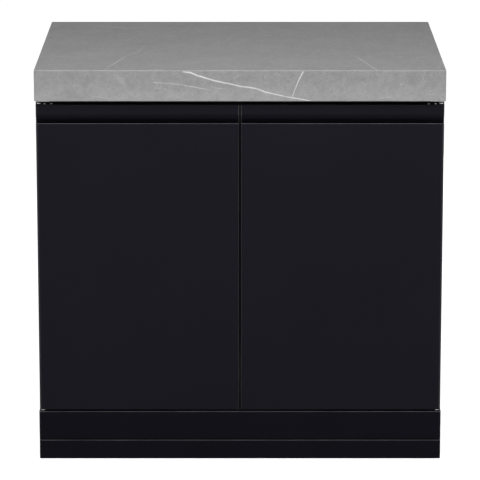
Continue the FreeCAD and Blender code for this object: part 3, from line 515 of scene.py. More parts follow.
@dataclass(frozen=True, kw_only=True)
class HonedStone(Finish):
    """Grey stone with pale veins, honed to a low sheen."""

    dark: Colour
    pale: Colour
    vein_colour: Colour
    # The arris colour is a painted highlight along the eased edges, patchy along them.
    arris_highlight_colour: Colour
    arris_width: float = 2.0 * MM
    arris_patch: float = 30.0 * MM
    arris_highlight_share: float = 0.6
    broad_size: float = 90.0 * MM
    middle_size: float = 22.0 * MM
    fine_size: float = 3.6 * MM
    fleck_size: float = 8.0 * MM
    fleck_detail: float = 2.0
    clouds: Wash = Wash(*NOISE_SPAN, 0.46)
    mottle: Wash = Wash(0.32, 0.68, 0.55)
    grains: Wash = Wash(0.25, 0.75, 0.56)
    flecks: Wash = Wash(0.60, 0.70, 0.5)
    hairline_scale: float = 5.0
    hairline_detail: float = 6.0
    hairline_roughness: float = 0.6
    hairline_width: float = 0.006
    hairline_patch: Span = (0.5, 0.68)
    hairline_share: float = 0.16
    wander: float = 3.5 * MM
    wander_scale: float = 26.0
    wander_detail: float = 3.0
    vein_patch_scale: float = 45.0
    vein_patch: Span = (0.3, 0.6)
    vein_strength: Span = (0.72, 1.0)
    roughness: Span = (0.52, 0.66)
    specular: float = 0.3
    relief: float = 0.05 * MM

    def material(self, node: str, board: Board, veins: Sequence[Vein]) -> Material:
        """Make the stone of one board.

        Args:
            node: The board's solid, whose edges are eased and take a painted highlight.
            board: The way that the board faces.
            veins: The veins that cross it.

        Returns:
            The material.
        """
        surface = Surface(f"{self.name}.{node}")
        tone = self.tone(surface)
        spots = surface.noise(surface.point, 1.0 / self.fleck_size, self.fleck_detail)
        ground = surface.wash(self.colour, tone["Broad"], self.clouds, self.dark)
        ground = surface.wash(ground, tone["Middle"], self.mottle, self.pale)
        ground = surface.wash(ground, tone["Fine"], self.grains, self.dark)
        ground = surface.wash(ground, spots, self.flecks, self.dark)
        ground = surface.blend(self._hairlines(surface, tone["Broad"]), ground, self.vein_colour)
        ground = surface.blend(self._veins(surface, board, veins), ground, self.vein_colour)
        low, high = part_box(node)
        edge_highlights = PaintedEdgeHighlight.place(surface, {"Low": low, "High": high, "Width": self.arris_width,
                                        "Patch Size": self.arris_patch})
        # The eased arris takes a painted highlight.
        eased = surface.product(edge_highlights["Mask"], self.arris_highlight_share)
        ground = surface.blend(eased, ground, self.arris_highlight_colour)
        return self.settle(surface, ground, tone["Middle"], self.grain(surface))

    def _hairlines(self, surface: Surface, clouds: Source) -> Socket:
        """Scatter faint hairlines, where the clouds let them show.

        Args:
            surface: The material's nodes.
            clouds: The broad tone.

        Returns:
            How much of the vein colour shows.
        """
        crack = surface.noise(surface.point, self.hairline_scale, self.hairline_detail,
                              self.hairline_roughness)
        away = surface.math("ABSOLUTE", surface.math("SUBTRACT", crack, NOISE_MIDDLE))
        line = surface.ramp(away, 0.0, self.hairline_width, 1.0, 0.0, smooth=True)
        shown = surface.product(line, surface.ramp(clouds, *self.hairline_patch))
        return surface.product(shown, self.hairline_share)

    def _veins(self, surface: Surface, board: Board, veins: Sequence[Vein]) -> Socket:
        """Lay the veins of one board, run by run.

        Args:
            surface: The material's nodes.
            board: The way that the board faces.
            veins: The veins that cross it.

        Returns:
            How much of the vein colour shows.
        """
        point = surface.point
        drift = surface.add("ShaderNodeTexNoise", {"Vector": point, "Scale": self.wander_scale,
                                                   "Detail": self.wander_detail})
        offset = surface.vector("SUBTRACT", drift.outputs["Color"], (NOISE_MIDDLE,) * 3)
        wandering = surface.vector("MULTIPLY_ADD", offset, (self.wander,) * 3, point)
        patches = surface.noise(point, self.vein_patch_scale)
        strength = surface.ramp(patches, *self.vein_patch, *self.vein_strength)
        plane = board.point((1.0, 1.0))
        shown: Source = 0.0
        for vein in veins:
            runs = len(vein.points) - 1
            growth = (vein.end_width - vein.start_width) / runs
            for index, (start, end) in enumerate(zip(vein.points, vein.points[1:])):
                width = vein.start_width + growth * index
                run = StoneVein.place(surface, {
                    "Point": wandering, "Board": plane, "Start": board.point(start),
                    "End": board.point(end), "Start Width": width, "End Width": width + growth,
                    "Start Strength": start[2], "End Strength": end[2]})
                shown = surface.math("MAXIMUM", run["Mask"], shown)
        return surface.product(shown, strength)


@dataclass(frozen=True, kw_only=True)
class SatinCoat(Finish):
    """Powder coat on metal: a fine pebbled skin, with painted highlights along upper and upright
    edges.
    """

    pale: Colour
    # The edge colour is a painted highlight along the edges, strongest along the upper ones.
    edge_highlight_colour: Colour
    edge_highlight_strength: float = 0.5
    upper_highlight_strength: float = 1.0
    edge_width: float = 2.0 * MM
    edge_patch: float = 50.0 * MM
    # The flank is a painted highlight down the front's outer upright edges.
    flank_highlight_strength: float = 0.0
    flank_highlight_width: float = 5.0 * MM
    broad_size: float = 240.0 * MM
    middle_size: float = 35.0 * MM
    fine_size: float = 0.7 * MM
    fine_share: float = 0.4
    drift: Wash = Wash(*NOISE_SPAN, 1.0)
    roughness: Span = (0.45, 0.52)
    specular: float = 0.1
    relief: float = 0.012 * MM

    def material(self, node: str) -> Material:
        """Make the coat of one piece.

        Args:
            node: The piece's solid, whose edges take painted highlights.

        Returns:
            The material.
        """
        surface = Surface(f"{self.name}.{node}")
        tone = self.tone(surface)
        broad = surface.product(tone["Broad"], 1.0 - self.fine_share)
        drift = surface.math("MULTIPLY_ADD", tone["Fine"], self.fine_share, broad)
        ground = surface.wash(self.colour, drift, self.drift, self.pale)
        low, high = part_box(node)
        # The box reaches down by twice the edge's width, so that lower edges get no painted
        # highlight.
        below = low - Vector((0.0, 0.0, 2.0 * self.edge_width))
        edge_highlights = PaintedEdgeHighlight.place(surface, {"Low": below, "High": high, "Width": self.edge_width,
                                        "Patch Size": self.edge_patch})
        highlight_share = surface.math("MAXIMUM", surface.product(edge_highlights["Mask"], self.edge_highlight_strength),
                              surface.product(edge_highlights["Upper"], self.upper_highlight_strength))
        if self.flank_highlight_strength:
            highlight_share = surface.math("MAXIMUM", highlight_share, self._flank_highlight(surface, low, high))
        ground = surface.blend(highlight_share, ground, self.edge_highlight_colour)
        return self.settle(surface, ground, tone["Middle"], self.grain(surface))

    def _flank_highlight(self, surface: Surface, low: Vector, high: Vector) -> Socket:
        """Paint a highlight on the front along the unit's flank, wider than along the other edges.

        Args:
            surface: The material's nodes.
            low: The piece's lowest corner.
            high: Its highest corner.

        Returns:
            How much of the painted highlight shows.
        """
        place = surface.split(surface.point)
        outside = surface.math("ABSOLUTE", place["X"])
        inward = surface.math("SUBTRACT", max(-low.x, high.x), outside)
        across = surface.product(inward, self.edge_width / self.flank_highlight_width)
        behind = surface.math("SUBTRACT", place["Y"], low.y)
        away = surface.math("MAXIMUM", across, behind)
        return surface.ramp(away, 0.0, self.edge_width, self.flank_highlight_strength, 0.0)


@dataclass(frozen=True, kw_only=True)
class DrawnMetal(Finish):
    """Bare metal with fine lines from brushing, drawing or turning."""

    dull: Colour
    lines: Triple
    broad_size: float = 60.0 * MM
    middle_size: float = 12.0 * MM
    fine_size: float = 0.5 * MM
    tarnish: Wash = Wash(0.35, 0.7, 0.6)
    streaks: Wash = Wash(0.4, 0.7, 0.4)
    roughness: Span = (0.24, 0.4)
    relief: float = 0.01 * MM

    def material(self) -> Material:
        """Make the metal.

        Returns:
            The material.
        """
        surface = Surface(self.name)
        streak = DrawnLines.place(surface, {"Lines": self.lines})["Streak"]
        mottle = self.tone(surface)["Middle"]
        ground = surface.wash(self.colour, mottle, self.tarnish, self.dull)
        ground = surface.wash(ground, streak, self.streaks, self.dull)
        surface.shader["Metallic"].default_value = 1.0
        return self.settle(surface, ground, streak, streak)


@dataclass(frozen=True, kw_only=True)
class Moulding(Finish):
    """Moulded plastic or rubber with a matt, slightly uneven skin."""

    pale: Colour
    broad_size: float = 20.0 * MM
    middle_size: float = 6.0 * MM
    fine_size: float = 0.9 * MM
    bloom: Wash = Wash(0.35, 0.7, 0.6)
    grains: Wash = Wash(0.0, 1.0, 0.3)
    roughness: Span = (0.5, 0.68)
    specular: float = 0.3
    relief: float = 0.03 * MM

    def material(self) -> Material:
        """Make the moulding.

        Returns:
            The material.
        """
        surface = Surface(self.name)
        tone = self.tone(surface)
        ground = surface.wash(self.colour, tone["Broad"], self.bloom, self.pale)
        ground = surface.wash(ground, tone["Fine"], self.grains, self.pale)
        return self.settle(surface, ground, tone["Middle"], self.grain(surface))


@dataclass(frozen=True, kw_only=True)
class Plywood(Finish):
    """Sealed plywood: plies that show as stripes on its edges, and long grain on its faces."""

    dark: Colour
    ply: float = 1.8 * MM
    lines: Triple = (45.0, 800.0, 800.0)
    broad_size: float = 120.0 * MM
    middle_size: float = 20.0 * MM
    fine_size: float = 1.2 * MM
    plies: Wash = Wash(-0.4, 0.4, 0.6)
    streaks: Wash = Wash(0.42, 0.62, 0.55)
    clouds: Wash = Wash(0.35, 0.7, 0.3)
    roughness: Span = (0.48, 0.64)
    specular: float = 0.35
    relief: float = 0.08 * MM

    def material(self) -> Material:
        """Make the plywood.

        Returns:
            The material.
        """
        surface = Surface(self.name)
        tone = self.tone(surface)
        streak = DrawnLines.place(surface, {"Lines": self.lines})["Streak"]
        height = surface.split(surface.point)["Z"]
        wave = surface.math("SINE", surface.product(height, math.pi / self.ply))
        ground = surface.wash(self.colour, wave, self.plies, self.dark)
        ground = surface.wash(ground, streak, self.streaks, self.dark)
        ground = surface.wash(ground, tone["Broad"], self.clouds, self.dark)
        return self.settle(surface, ground, tone["Middle"], streak)


# The stone's arris colour is a painted highlight along the boards' eased edges.
STONE = HonedStone(
    name="stone", colour=grey(0.304), dark=grey(0.195), pale=grey(0.424), vein_colour=grey(0.72),
    arris_highlight_colour=grey(0.38))
# Each coat's edge colour is a painted highlight along its edges.
DOOR_COAT = SatinCoat(
    name="door_coat", colour=rgb(0.0057, 0.0050, 0.0096), pale=rgb(0.0072, 0.0064, 0.0117),
    edge_highlight_colour=rgb(0.075, 0.074, 0.080), flank_highlight_strength=0.8)
PULL_COAT = SatinCoat(
    name="pull_coat", colour=rgb(0.0050, 0.0044, 0.0086), pale=rgb(0.0062, 0.0055, 0.0102),
    edge_highlight_colour=rgb(0.02, 0.02, 0.024), edge_highlight_strength=0.4, upper_highlight_strength=0.2)
# The fascia and plinth coat is darker than the doors' coat: painted shade low down by the floor.
BASE_COAT = SatinCoat(
    name="base_coat", colour=rgb(0.0048, 0.0042, 0.0077), pale=rgb(0.0060, 0.0053, 0.0095),
    edge_highlight_colour=rgb(0.125, 0.125, 0.135), edge_highlight_strength=0.12, specular=0.05)
# The carcass and liner coats are lighter than the doors' coat: painted light, so that the shaded
# inside reads.
CARCASS_COAT = SatinCoat(
    name="carcass_coat", colour=rgb(0.0084, 0.0075, 0.0128), pale=rgb(0.0108, 0.0098, 0.0158),
    edge_highlight_colour=rgb(0.05, 0.05, 0.055), upper_highlight_strength=0.45, specular=0.15)
LINER_COAT = SatinCoat(
    name="liner_coat", colour=rgb(0.0094, 0.0085, 0.0138), pale=rgb(0.0122, 0.0111, 0.0172),
    edge_highlight_colour=rgb(0.07, 0.07, 0.075), upper_highlight_strength=0.4, specular=0.15)
STAINLESS = DrawnMetal(
    name="stainless", colour=rgb(0.66, 0.66, 0.65), dull=grey(0.50), lines=(60.0, 2200.0, 2200.0))
POLISHED_STEEL = DrawnMetal(
    name="polished_steel", colour=rgb(0.78, 0.78, 0.77), dull=grey(0.68),
    lines=(400.0, 400.0, 2600.0), roughness=(0.08, 0.16), relief=0.004 * MM)
ZINC_STEEL = DrawnMetal(
    name="zinc_steel", colour=rgb(0.55, 0.56, 0.57), dull=rgb(0.38, 0.39, 0.41),
    lines=(300.0, 300.0, 300.0), roughness=(0.3, 0.5))
ALUMINIUM = DrawnMetal(
    name="bare_aluminium", colour=rgb(0.74, 0.74, 0.75), dull=rgb(0.60, 0.60, 0.61),
    lines=(2400.0, 2400.0, 50.0), roughness=(0.28, 0.42))
MAGNET = DrawnMetal(
    name="magnet", colour=rgb(0.54, 0.53, 0.51), dull=rgb(0.40, 0.39, 0.38),
    lines=(500.0, 500.0, 500.0), roughness=(0.26, 0.42))
BLACK_PLASTIC = Moulding(
    name="black_plastic", colour=rgb(0.008, 0.008, 0.009), pale=rgb(0.014, 0.014, 0.015))
# The pull's end caps: a dark plastic painted paler, as a painted highlight where the pull's ends
# catch the light.
HIGHLIGHTED_CAP_PLASTIC = Moulding(
    name="cap_plastic", colour=rgb(0.034, 0.034, 0.037), pale=rgb(0.055, 0.055, 0.059))
PIVOT_PLASTIC = Moulding(
    name="pivot_plastic", colour=rgb(0.014, 0.014, 0.015), pale=rgb(0.024, 0.024, 0.025),
    roughness=(0.38, 0.5), specular=0.4)
RUBBER = Moulding(
    name="rubber", colour=grey(0.010), pale=rgb(0.020, 0.020, 0.019), roughness=(0.72, 0.88),
    specular=0.2, relief=0.05 * MM)
BATTEN_BOARD = Plywood(
    name="batten_board", colour=rgb(0.40, 0.27, 0.17), dark=rgb(0.25, 0.155, 0.09))

PlainFinish = DrawnMetal | Moulding | Plywood


@cache
def shared(finish: PlainFinish) -> Material:
    """The one material of a finish that several pieces share."""
    return finish.material()


def add_object(name: str, data: ID) -> Object:
    """Put a new object in the scene.

    Args:
        name: Its name.
        data: Its mesh, light or camera.

    Returns:
        The object.
    """
    thing = bpy.data.objects.new(name, data)
    bpy.context.scene.collection.objects.link(thing)
    return thing


def dress(node: str, material: Material) -> None:
    """Give a solid its material.

    Args:
        node: The solid's name.
        material: What it is made of.
    """
    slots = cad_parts[node].data.materials
    slots.clear()
    slots.append(material)
    LOG.info("dressed %s in %s", node, material.name)


def stand_in(piece: Object, body: str, node: str) -> None:
    """Let a piece take a solid's place.

    Args:
        piece: The finished piece.
        body: What it moves with.
        node: The solid that it replaces.
    """
    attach(piece, body)
    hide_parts(node)


class TurnedGroup(Group):
    """Geometry nodes that build a solid ring by ring, from the bottom up."""

    kind = "GeometryNodeTree"
    gives = Port.SHAPE.each("Geometry")
    HEXAGON_HALF = math.pi / 6.0
    CREASE = math.radians(38.0)
    MERGED = 0.002 * MM

    def wire(self) -> dict[str, Socket]:
        """Hand over the finished shape."""
        return {"Geometry": self.finished(self.shape(), self.given["Material"])}

    def shape(self) -> Socket:
        """Lay the nodes of the shape."""
        raise NotImplementedError

    def start(self, sides: int, radius: Source, height: Source) -> tuple[Socket, Socket]:
        """Lay the bottom ring with a face that looks down.

        Args:
            sides: Corners of the ring.
            radius: Its radius.
            height: Its height.

        Returns:
            The ring that grows upwards and the face that closes the bottom.
        """
        circle = self.first("GeometryNodeMeshCircle", {"Vertices": sides, "Radius": radius},
                            fill_type="NGON")
        placed = {"Geometry": circle, "Offset": self.combine(Z=height)}
        low = self.first("GeometryNodeSetPosition", placed)
        return low, self.first("GeometryNodeFlipFaces", {"Mesh": low})

    def corner_factor(self, position: Socket) -> Socket:
        """How far a hexagon reaches in a point's direction, as a share of its corner radius.

        Args:
            position: The point.

        Returns:
            The share.
        """
        place = self.split(position)
        angle = self.math("ARCTAN2", place["Y"], place["X"])
        full_turn = self.math("ADD", angle, 2.0 * math.pi)
        side = self.math("MODULO", full_turn, 2.0 * self.HEXAGON_HALF)
        within = self.math("SUBTRACT", side, self.HEXAGON_HALF)
        return self.math("DIVIDE", math.cos(self.HEXAGON_HALF), self.math("COSINE", within))

    def ring(self, grown: tuple[Socket, Source], radius: Source, height: Source,
             hexagon: Source | None = None) -> tuple[Socket, Socket]:
        """Carry the top face on to a new ring.

        Args:
            grown: The shape so far, and which of its faces is the top.
            radius: The new ring's radius, or its most where it is a hexagon.
            height: The new ring's height.
            hexagon: The corner radius of a hexagon that bounds the ring, if any.

        Returns:
            The shape with the new ring, and its top face.
        """
        shape, top = grown
        inputs = {"Mesh": shape, "Selection": top, "Offset Scale": 0.0, "Individual": False}
        extruded = self.add("GeometryNodeExtrudeMesh", inputs, mode="FACES").outputs
        position = self.first("GeometryNodeInputPosition")
        flat = self.vector("NORMALIZE", self.vector("MULTIPLY", position, (1.0, 1.0, 0.0)))
        reach = radius
        if hexagon is not None:
            bound = self.product(self.corner_factor(position), hexagon)
            reach = self.math("MINIMUM", radius, bound)
        spread = self.vector("MULTIPLY", flat, self.combine(X=reach, Y=reach))
        moved = {"Geometry": extruded["Mesh"], "Selection": extruded["Top"],
                 "Position": self.vector("ADD", spread, self.combine(Z=height))}
        return self.first("GeometryNodeSetPosition", moved), extruded["Top"]

    def joined(self, *shapes: Socket) -> Socket:
        """Join several shapes in one.

        Args:
            shapes: The shapes.

        Returns:
            All of them together.
        """
        node = self.add("GeometryNodeJoinGeometry")
        for shape in shapes:
            self.feed(node.inputs["Geometry"], shape)
        return node.outputs["Geometry"]

    def closed(self, *shapes: Socket) -> Socket:
        """Join shapes and merge the rings where they meet."""
        inputs = {"Geometry": self.joined(*shapes), "Distance": self.MERGED}
        return self.first("GeometryNodeMergeByDistance", inputs)

    def moved(self, shape: Socket, way: Source) -> Socket:
        """Move a shape."""
        return self.first("GeometryNodeTransform", {"Geometry": shape, "Translation": way})

    def finished(self, shape: Socket, material: Source) -> Socket:
        """Realise what repeats, shade the round faces smooth and set the material.

        Args:
            shape: What was built.
            material: Its material.

        Returns:
            The finished shape.
        """
        real = self.first("GeometryNodeRealizeInstances", {"Geometry": shape})
        smooth = self.first("GeometryNodeSetShadeSmooth", {"Geometry": real, "Shade Smooth": True},
                            domain="FACE")
        angle = self.first("GeometryNodeInputMeshEdgeAngle")
        sharp = self._sum("FunctionNodeCompare", "GREATER_THAN", (angle, self.CREASE))["Result"]
        creased = self.first("GeometryNodeSetShadeSmooth", {
            "Geometry": smooth, "Selection": sharp, "Shade Smooth": False}, domain="EDGE")
        return self.first("GeometryNodeSetMaterial", {"Geometry": creased, "Material": material})


class ScrewTree(TurnedGroup):
    """A button-head screw with a hexagon socket on every point."""

    name = "button_head_screws"
    takes = Port.SHAPE.each("Geometry") | Port.VALUE.each(
        "Head Radius", "Head Height", "Socket Radius", "Socket Depth",
        "Shank Radius") | Port.FINISH.each("Material")
    HEAD_SIDES = 24
    HEAD_PROFILE = ((1.0, 0.30), (0.95, 0.62), (0.80, 0.88), (0.62, 1.0))
    SHANK_SIDES = 16
    SPIN_SEED = 7

    def shape(self) -> Socket:
        """Set a head and a shank on every point.

        Returns:
            The screws.
        """
        rotation = self._rotation()
        shank = self.first("GeometryNodeMeshCylinder", {
            "Vertices": self.SHANK_SIDES, "Radius": self.given["Shank Radius"], "Depth": 1.0})
        stretch = self.combine(X=1.0, Y=1.0, Z=self._attribute("length", "FLOAT"))
        return self.joined(
            self._on_points(self._head(), rotation, (1.0, 1.0, 1.0)),
            self._on_points(self.moved(shank, (0.0, 0.0, -0.5)), rotation, stretch))

    def _head(self) -> Socket:
        """Turn the head and sink its socket.

        Returns:
            The head.
        """
        size = self.given
        radius, height, socket = (size[name] for name in ("Head Radius", "Head Height",
                                                          "Socket Radius"))
        head, base = self.start(self.HEAD_SIDES, radius, 0.0)
        grown = (head, True)
        for across, up in self.HEAD_PROFILE:
            grown = self.ring(grown, self.product(radius, across), self.product(height, up))
        grown = self.ring(grown, socket, height, socket)
        floor = self.math("SUBTRACT", height, size["Socket Depth"])
        grown = self.ring(grown, socket, floor, socket)
        return self.closed(grown[0], base)

    def _rotation(self) -> Socket:
        """Aim each screw, and turn it by chance so that the sockets don't line up.

        Returns:
            The rotation.
        """
        facing = self.first("FunctionNodeAlignRotationToVector",
                            {"Vector": self._attribute("aim", "FLOAT_VECTOR")}, axis="Z")
        spin = self.add("FunctionNodeRandomValue", data_type="FLOAT")
        enabled = {socket.name: socket for socket in spin.inputs if socket.enabled}
        enabled["Max"].default_value = 2.0 * self.HEXAGON_HALF
        enabled["Seed"].default_value = self.SPIN_SEED
        turned = self.first("FunctionNodeAxisAngleToRotation", {
            "Axis": (0.0, 0.0, 1.0), "Angle": spin.outputs["Value"]})
        return self.first("FunctionNodeRotateRotation", {"Rotation": facing, "Rotate By": turned},
                          rotation_space="LOCAL")

    def _on_points(self, shape: Socket, rotation: Source, scale: Source) -> Socket:
        """Repeat a shape on every point, each copy turned and stretched."""
        return self.first("GeometryNodeInstanceOnPoints", {
            "Points": self.given["Geometry"], "Instance": shape, "Rotation": rotation,
            "Scale": scale})

    def _attribute(self, name: str, kind: str) -> Socket:
        """Read what a point carries."""
        return self.first("GeometryNodeInputNamedAttribute", {"Name": name}, data_type=kind)


class StudTree(TurnedGroup):
    """A levelling stud: a chamfered hexagon and a threaded rod."""

    name = "levelling_stud"
    takes = Port.SHAPE.each("Geometry") | Port.POINT.each("Seat") | Port.VALUE.each(
        "Hexagon Radius", "Hexagon Height", "Crest Radius", "Thread Depth", "Pitch",
        "Length") | Port.FINISH.each("Material")
    SIDES = 48
    CHAMFER = 0.90
    CHAMFER_HEIGHT = 0.1
    TIP_SHARE = 0.8
    TURN_STEPS = 20
    RIDGE_SIDES = 6

    def shape(self) -> Socket:
        """Join the hexagon and the core to the thread.

        Returns:
            The stud.
        """
        size = self.given
        root = self.math("SUBTRACT", size["Crest Radius"], size["Thread Depth"])
        tip = self.math("SUBTRACT", size["Length"], size["Pitch"])
        whole = self.joined(self._rod(root, tip), self._thread(root, tip))
        return self.moved(whole, size["Seat"])

    def _rod(self, root: Source, tip: Source) -> Socket:
        """Turn the hexagon and the core.

        Args:
            root: The core's radius.
            tip: Where the core begins to taper.

        Returns:
            The rod.
        """
        corner, height = self.given["Hexagon Radius"], self.given["Hexagon Height"]
        chamfered = self.product(corner, self.CHAMFER)
        bottom, base = self.start(self.SIDES, chamfered, 0.0)
        grown = self.ring((bottom, True), chamfered, 0.0, corner)
        for radius, share in ((corner, self.CHAMFER_HEIGHT), (corner, 1.0 - self.CHAMFER_HEIGHT),
                              (chamfered, 1.0)):
            grown = self.ring(grown, radius, self.product(height, share), corner)
        grown = self.ring(grown, root, height)
        grown = self.ring(grown, root, tip)
        grown = self.ring(grown, self.product(root, self.TIP_SHARE), self.given["Length"])
        return self.closed(grown[0], base)

    def _thread(self, root: Source, tip: Source) -> Socket:
        """Wind the thread's ridge round the core.

        Args:
            root: The core's radius.
            tip: Where the core begins to taper.

        Returns:
            The thread.
        """
        height, pitch = self.given["Hexagon Height"], self.given["Pitch"]
        run = self.math("SUBTRACT", self.math("SUBTRACT", tip, height), pitch)
        spiral = self.first("GeometryNodeCurveSpiral", {
            "Resolution": self.TURN_STEPS, "Rotations": self.math("DIVIDE", run, pitch),
            "Start Radius": root, "End Radius": root, "Height": run, "Reverse": False})
        upright = self.first("GeometryNodeSetCurveNormal", {"Curve": spiral}, mode="Z_UP")
        ridge = self.first("GeometryNodeCurvePrimitiveCircle", {
            "Resolution": self.RIDGE_SIDES, "Radius": self.given["Thread Depth"]})
        swept = self.first("GeometryNodeCurveToMesh", {
            "Curve": upright, "Profile Curve": ridge, "Fill Caps": True})
        return self.moved(swept, self.combine(Z=self.math("ADD", height, pitch)))


def grow(name: str, points: Mesh, tree: NodeTree, inputs: dict[str, object]) -> Object:
    """Run a geometry node tree on points and keep the result as a plain mesh.

    Args:
        name: The new piece's name.
        points: What the tree starts from.
        tree: The geometry node group.
        inputs: The group's values, by name.

    Returns:
        The finished piece.
    """
    piece = add_object(name, points)
    modifier = piece.modifiers.new(tree.name, "NODES")
    modifier.node_group = tree
    for item in tree.interface.items_tree:
        if item.item_type == "SOCKET" and item.in_out == "INPUT" and item.name in inputs:
            modifier[item.identifier] = inputs[item.name]
    graph = bpy.context.evaluated_depsgraph_get()
    mesh = bpy.data.meshes.new_from_object(piece.evaluated_get(graph),
                                           preserve_all_data_layers=True, depsgraph=graph)
    mesh.name = name
    piece.modifiers.clear()
    piece.data = mesh
    bpy.data.meshes.remove(points)
    LOG.info("made %s with %d faces", name, len(mesh.polygons))
    return piece


@dataclass(frozen=True)
class Fixing:
    """One screw: where its head seats, the way that the head looks and its shank's length."""

    seat: Vector
    aim: Vector
    length: float


@dataclass
class ScrewSet:
    """Button-head screws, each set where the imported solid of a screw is."""

    head_radius: float = 3.6 * MM
    head_height: float = 2.0 * MM
    socket_radius: float = 1.45 * MM
    socket_depth: float = 1.2 * MM
    shank_radius: float = 2.0 * MM
    rim_share: float = 0.9

    def build(self, node: str, body: str) -> None:
        """Make the screws that stand for one solid.

        Args:
            node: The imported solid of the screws.
            body: What they move with.
        """
        fixings = [self._fixing(lump) for lump in self._lumps(node)]
        points = bpy.data.meshes.new(f"{node}_seats")
        points.from_pydata([fixing.seat for fixing in fixings], [], [])
        aims = points.attributes.new("aim", "FLOAT_VECTOR", "POINT")
        aims.data.foreach_set("vector", [part for fixing in fixings for part in fixing.aim])
        lengths = points.attributes.new("length", "FLOAT", "POINT")
        lengths.data.foreach_set("value", [fixing.length for fixing in fixings])
        piece = grow(f"{node}_heads", points, ScrewTree.built(), {
            "Head Radius": self.head_radius, "Head Height": self.head_height,
            "Socket Radius": self.socket_radius, "Socket Depth": self.socket_depth,
            "Shank Radius": self.shank_radius, "Material": shared(STAINLESS)})
        stand_in(piece, body, node)

    @staticmethod
    def _lumps(node: str) -> list[list[Vector]]:
        """Part a solid's corners into separate lumps.

        Args:
            node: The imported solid.

        Returns:
            The corners of each lump, in a fixed order.
        """
        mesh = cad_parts[node].data
        spots: dict[tuple[float, ...], int] = {}
        index = [spots.setdefault(tuple(round(part, SPOT_DIGITS) for part in corner.co), len(spots))
                 for corner in mesh.vertices]
        leader = list(range(len(spots)))

        def lead(spot: int) -> int:
            """Find the spot that stands for a spot's lump.

            Args:
                spot: Any spot of the lump.

            Returns:
                The spot that stands for the lump.
            """
            while leader[spot] != spot:
                leader[spot] = leader[leader[spot]]
                spot = leader[spot]
            return spot

        for face in mesh.polygons:
            first = lead(index[face.vertices[0]])
            for corner in face.vertices:
                leader[lead(index[corner])] = first
        lumps: dict[int, list[Vector]] = {}
        for place, spot in spots.items():
            lumps.setdefault(lead(spot), []).append(Vector(place))
        return sorted(lumps.values(), key=lambda corners: tuple(min(corners, key=tuple)))

    def _fixing(self, corners: Sequence[Vector]) -> Fixing:
        """Read a screw's place from its solid.

        Args:
            corners: The solid's corners.

        Returns:
            The screw.
        """
        low, high = (Vector(pick(corner[axis] for corner in corners) for axis in range(3))
                     for pick in (min, max))
        middle = (low + high) / 2.0
        odd = [abs(high[axis] - low[axis] - 2.0 * self.head_radius) for axis in range(3)]
        axis = odd.index(max(odd))
        across = [other for other in range(3) if other != axis]
        rim = [corner[axis] for corner in corners
               if sum((corner[other] - middle[other]) ** 2 for other in across)
               > (self.rim_share * self.head_radius) ** 2]
        way = 1.0 if sum(rim) / len(rim) > middle[axis] else -1.0
        aim = Vector((0.0, 0.0, 0.0))
        aim[axis] = way
        seat = middle.copy()
        seat[axis] = (high if way > 0.0 else low)[axis] - way * self.head_height
        return Fixing(seat, aim, high[axis] - low[axis] - self.head_height)


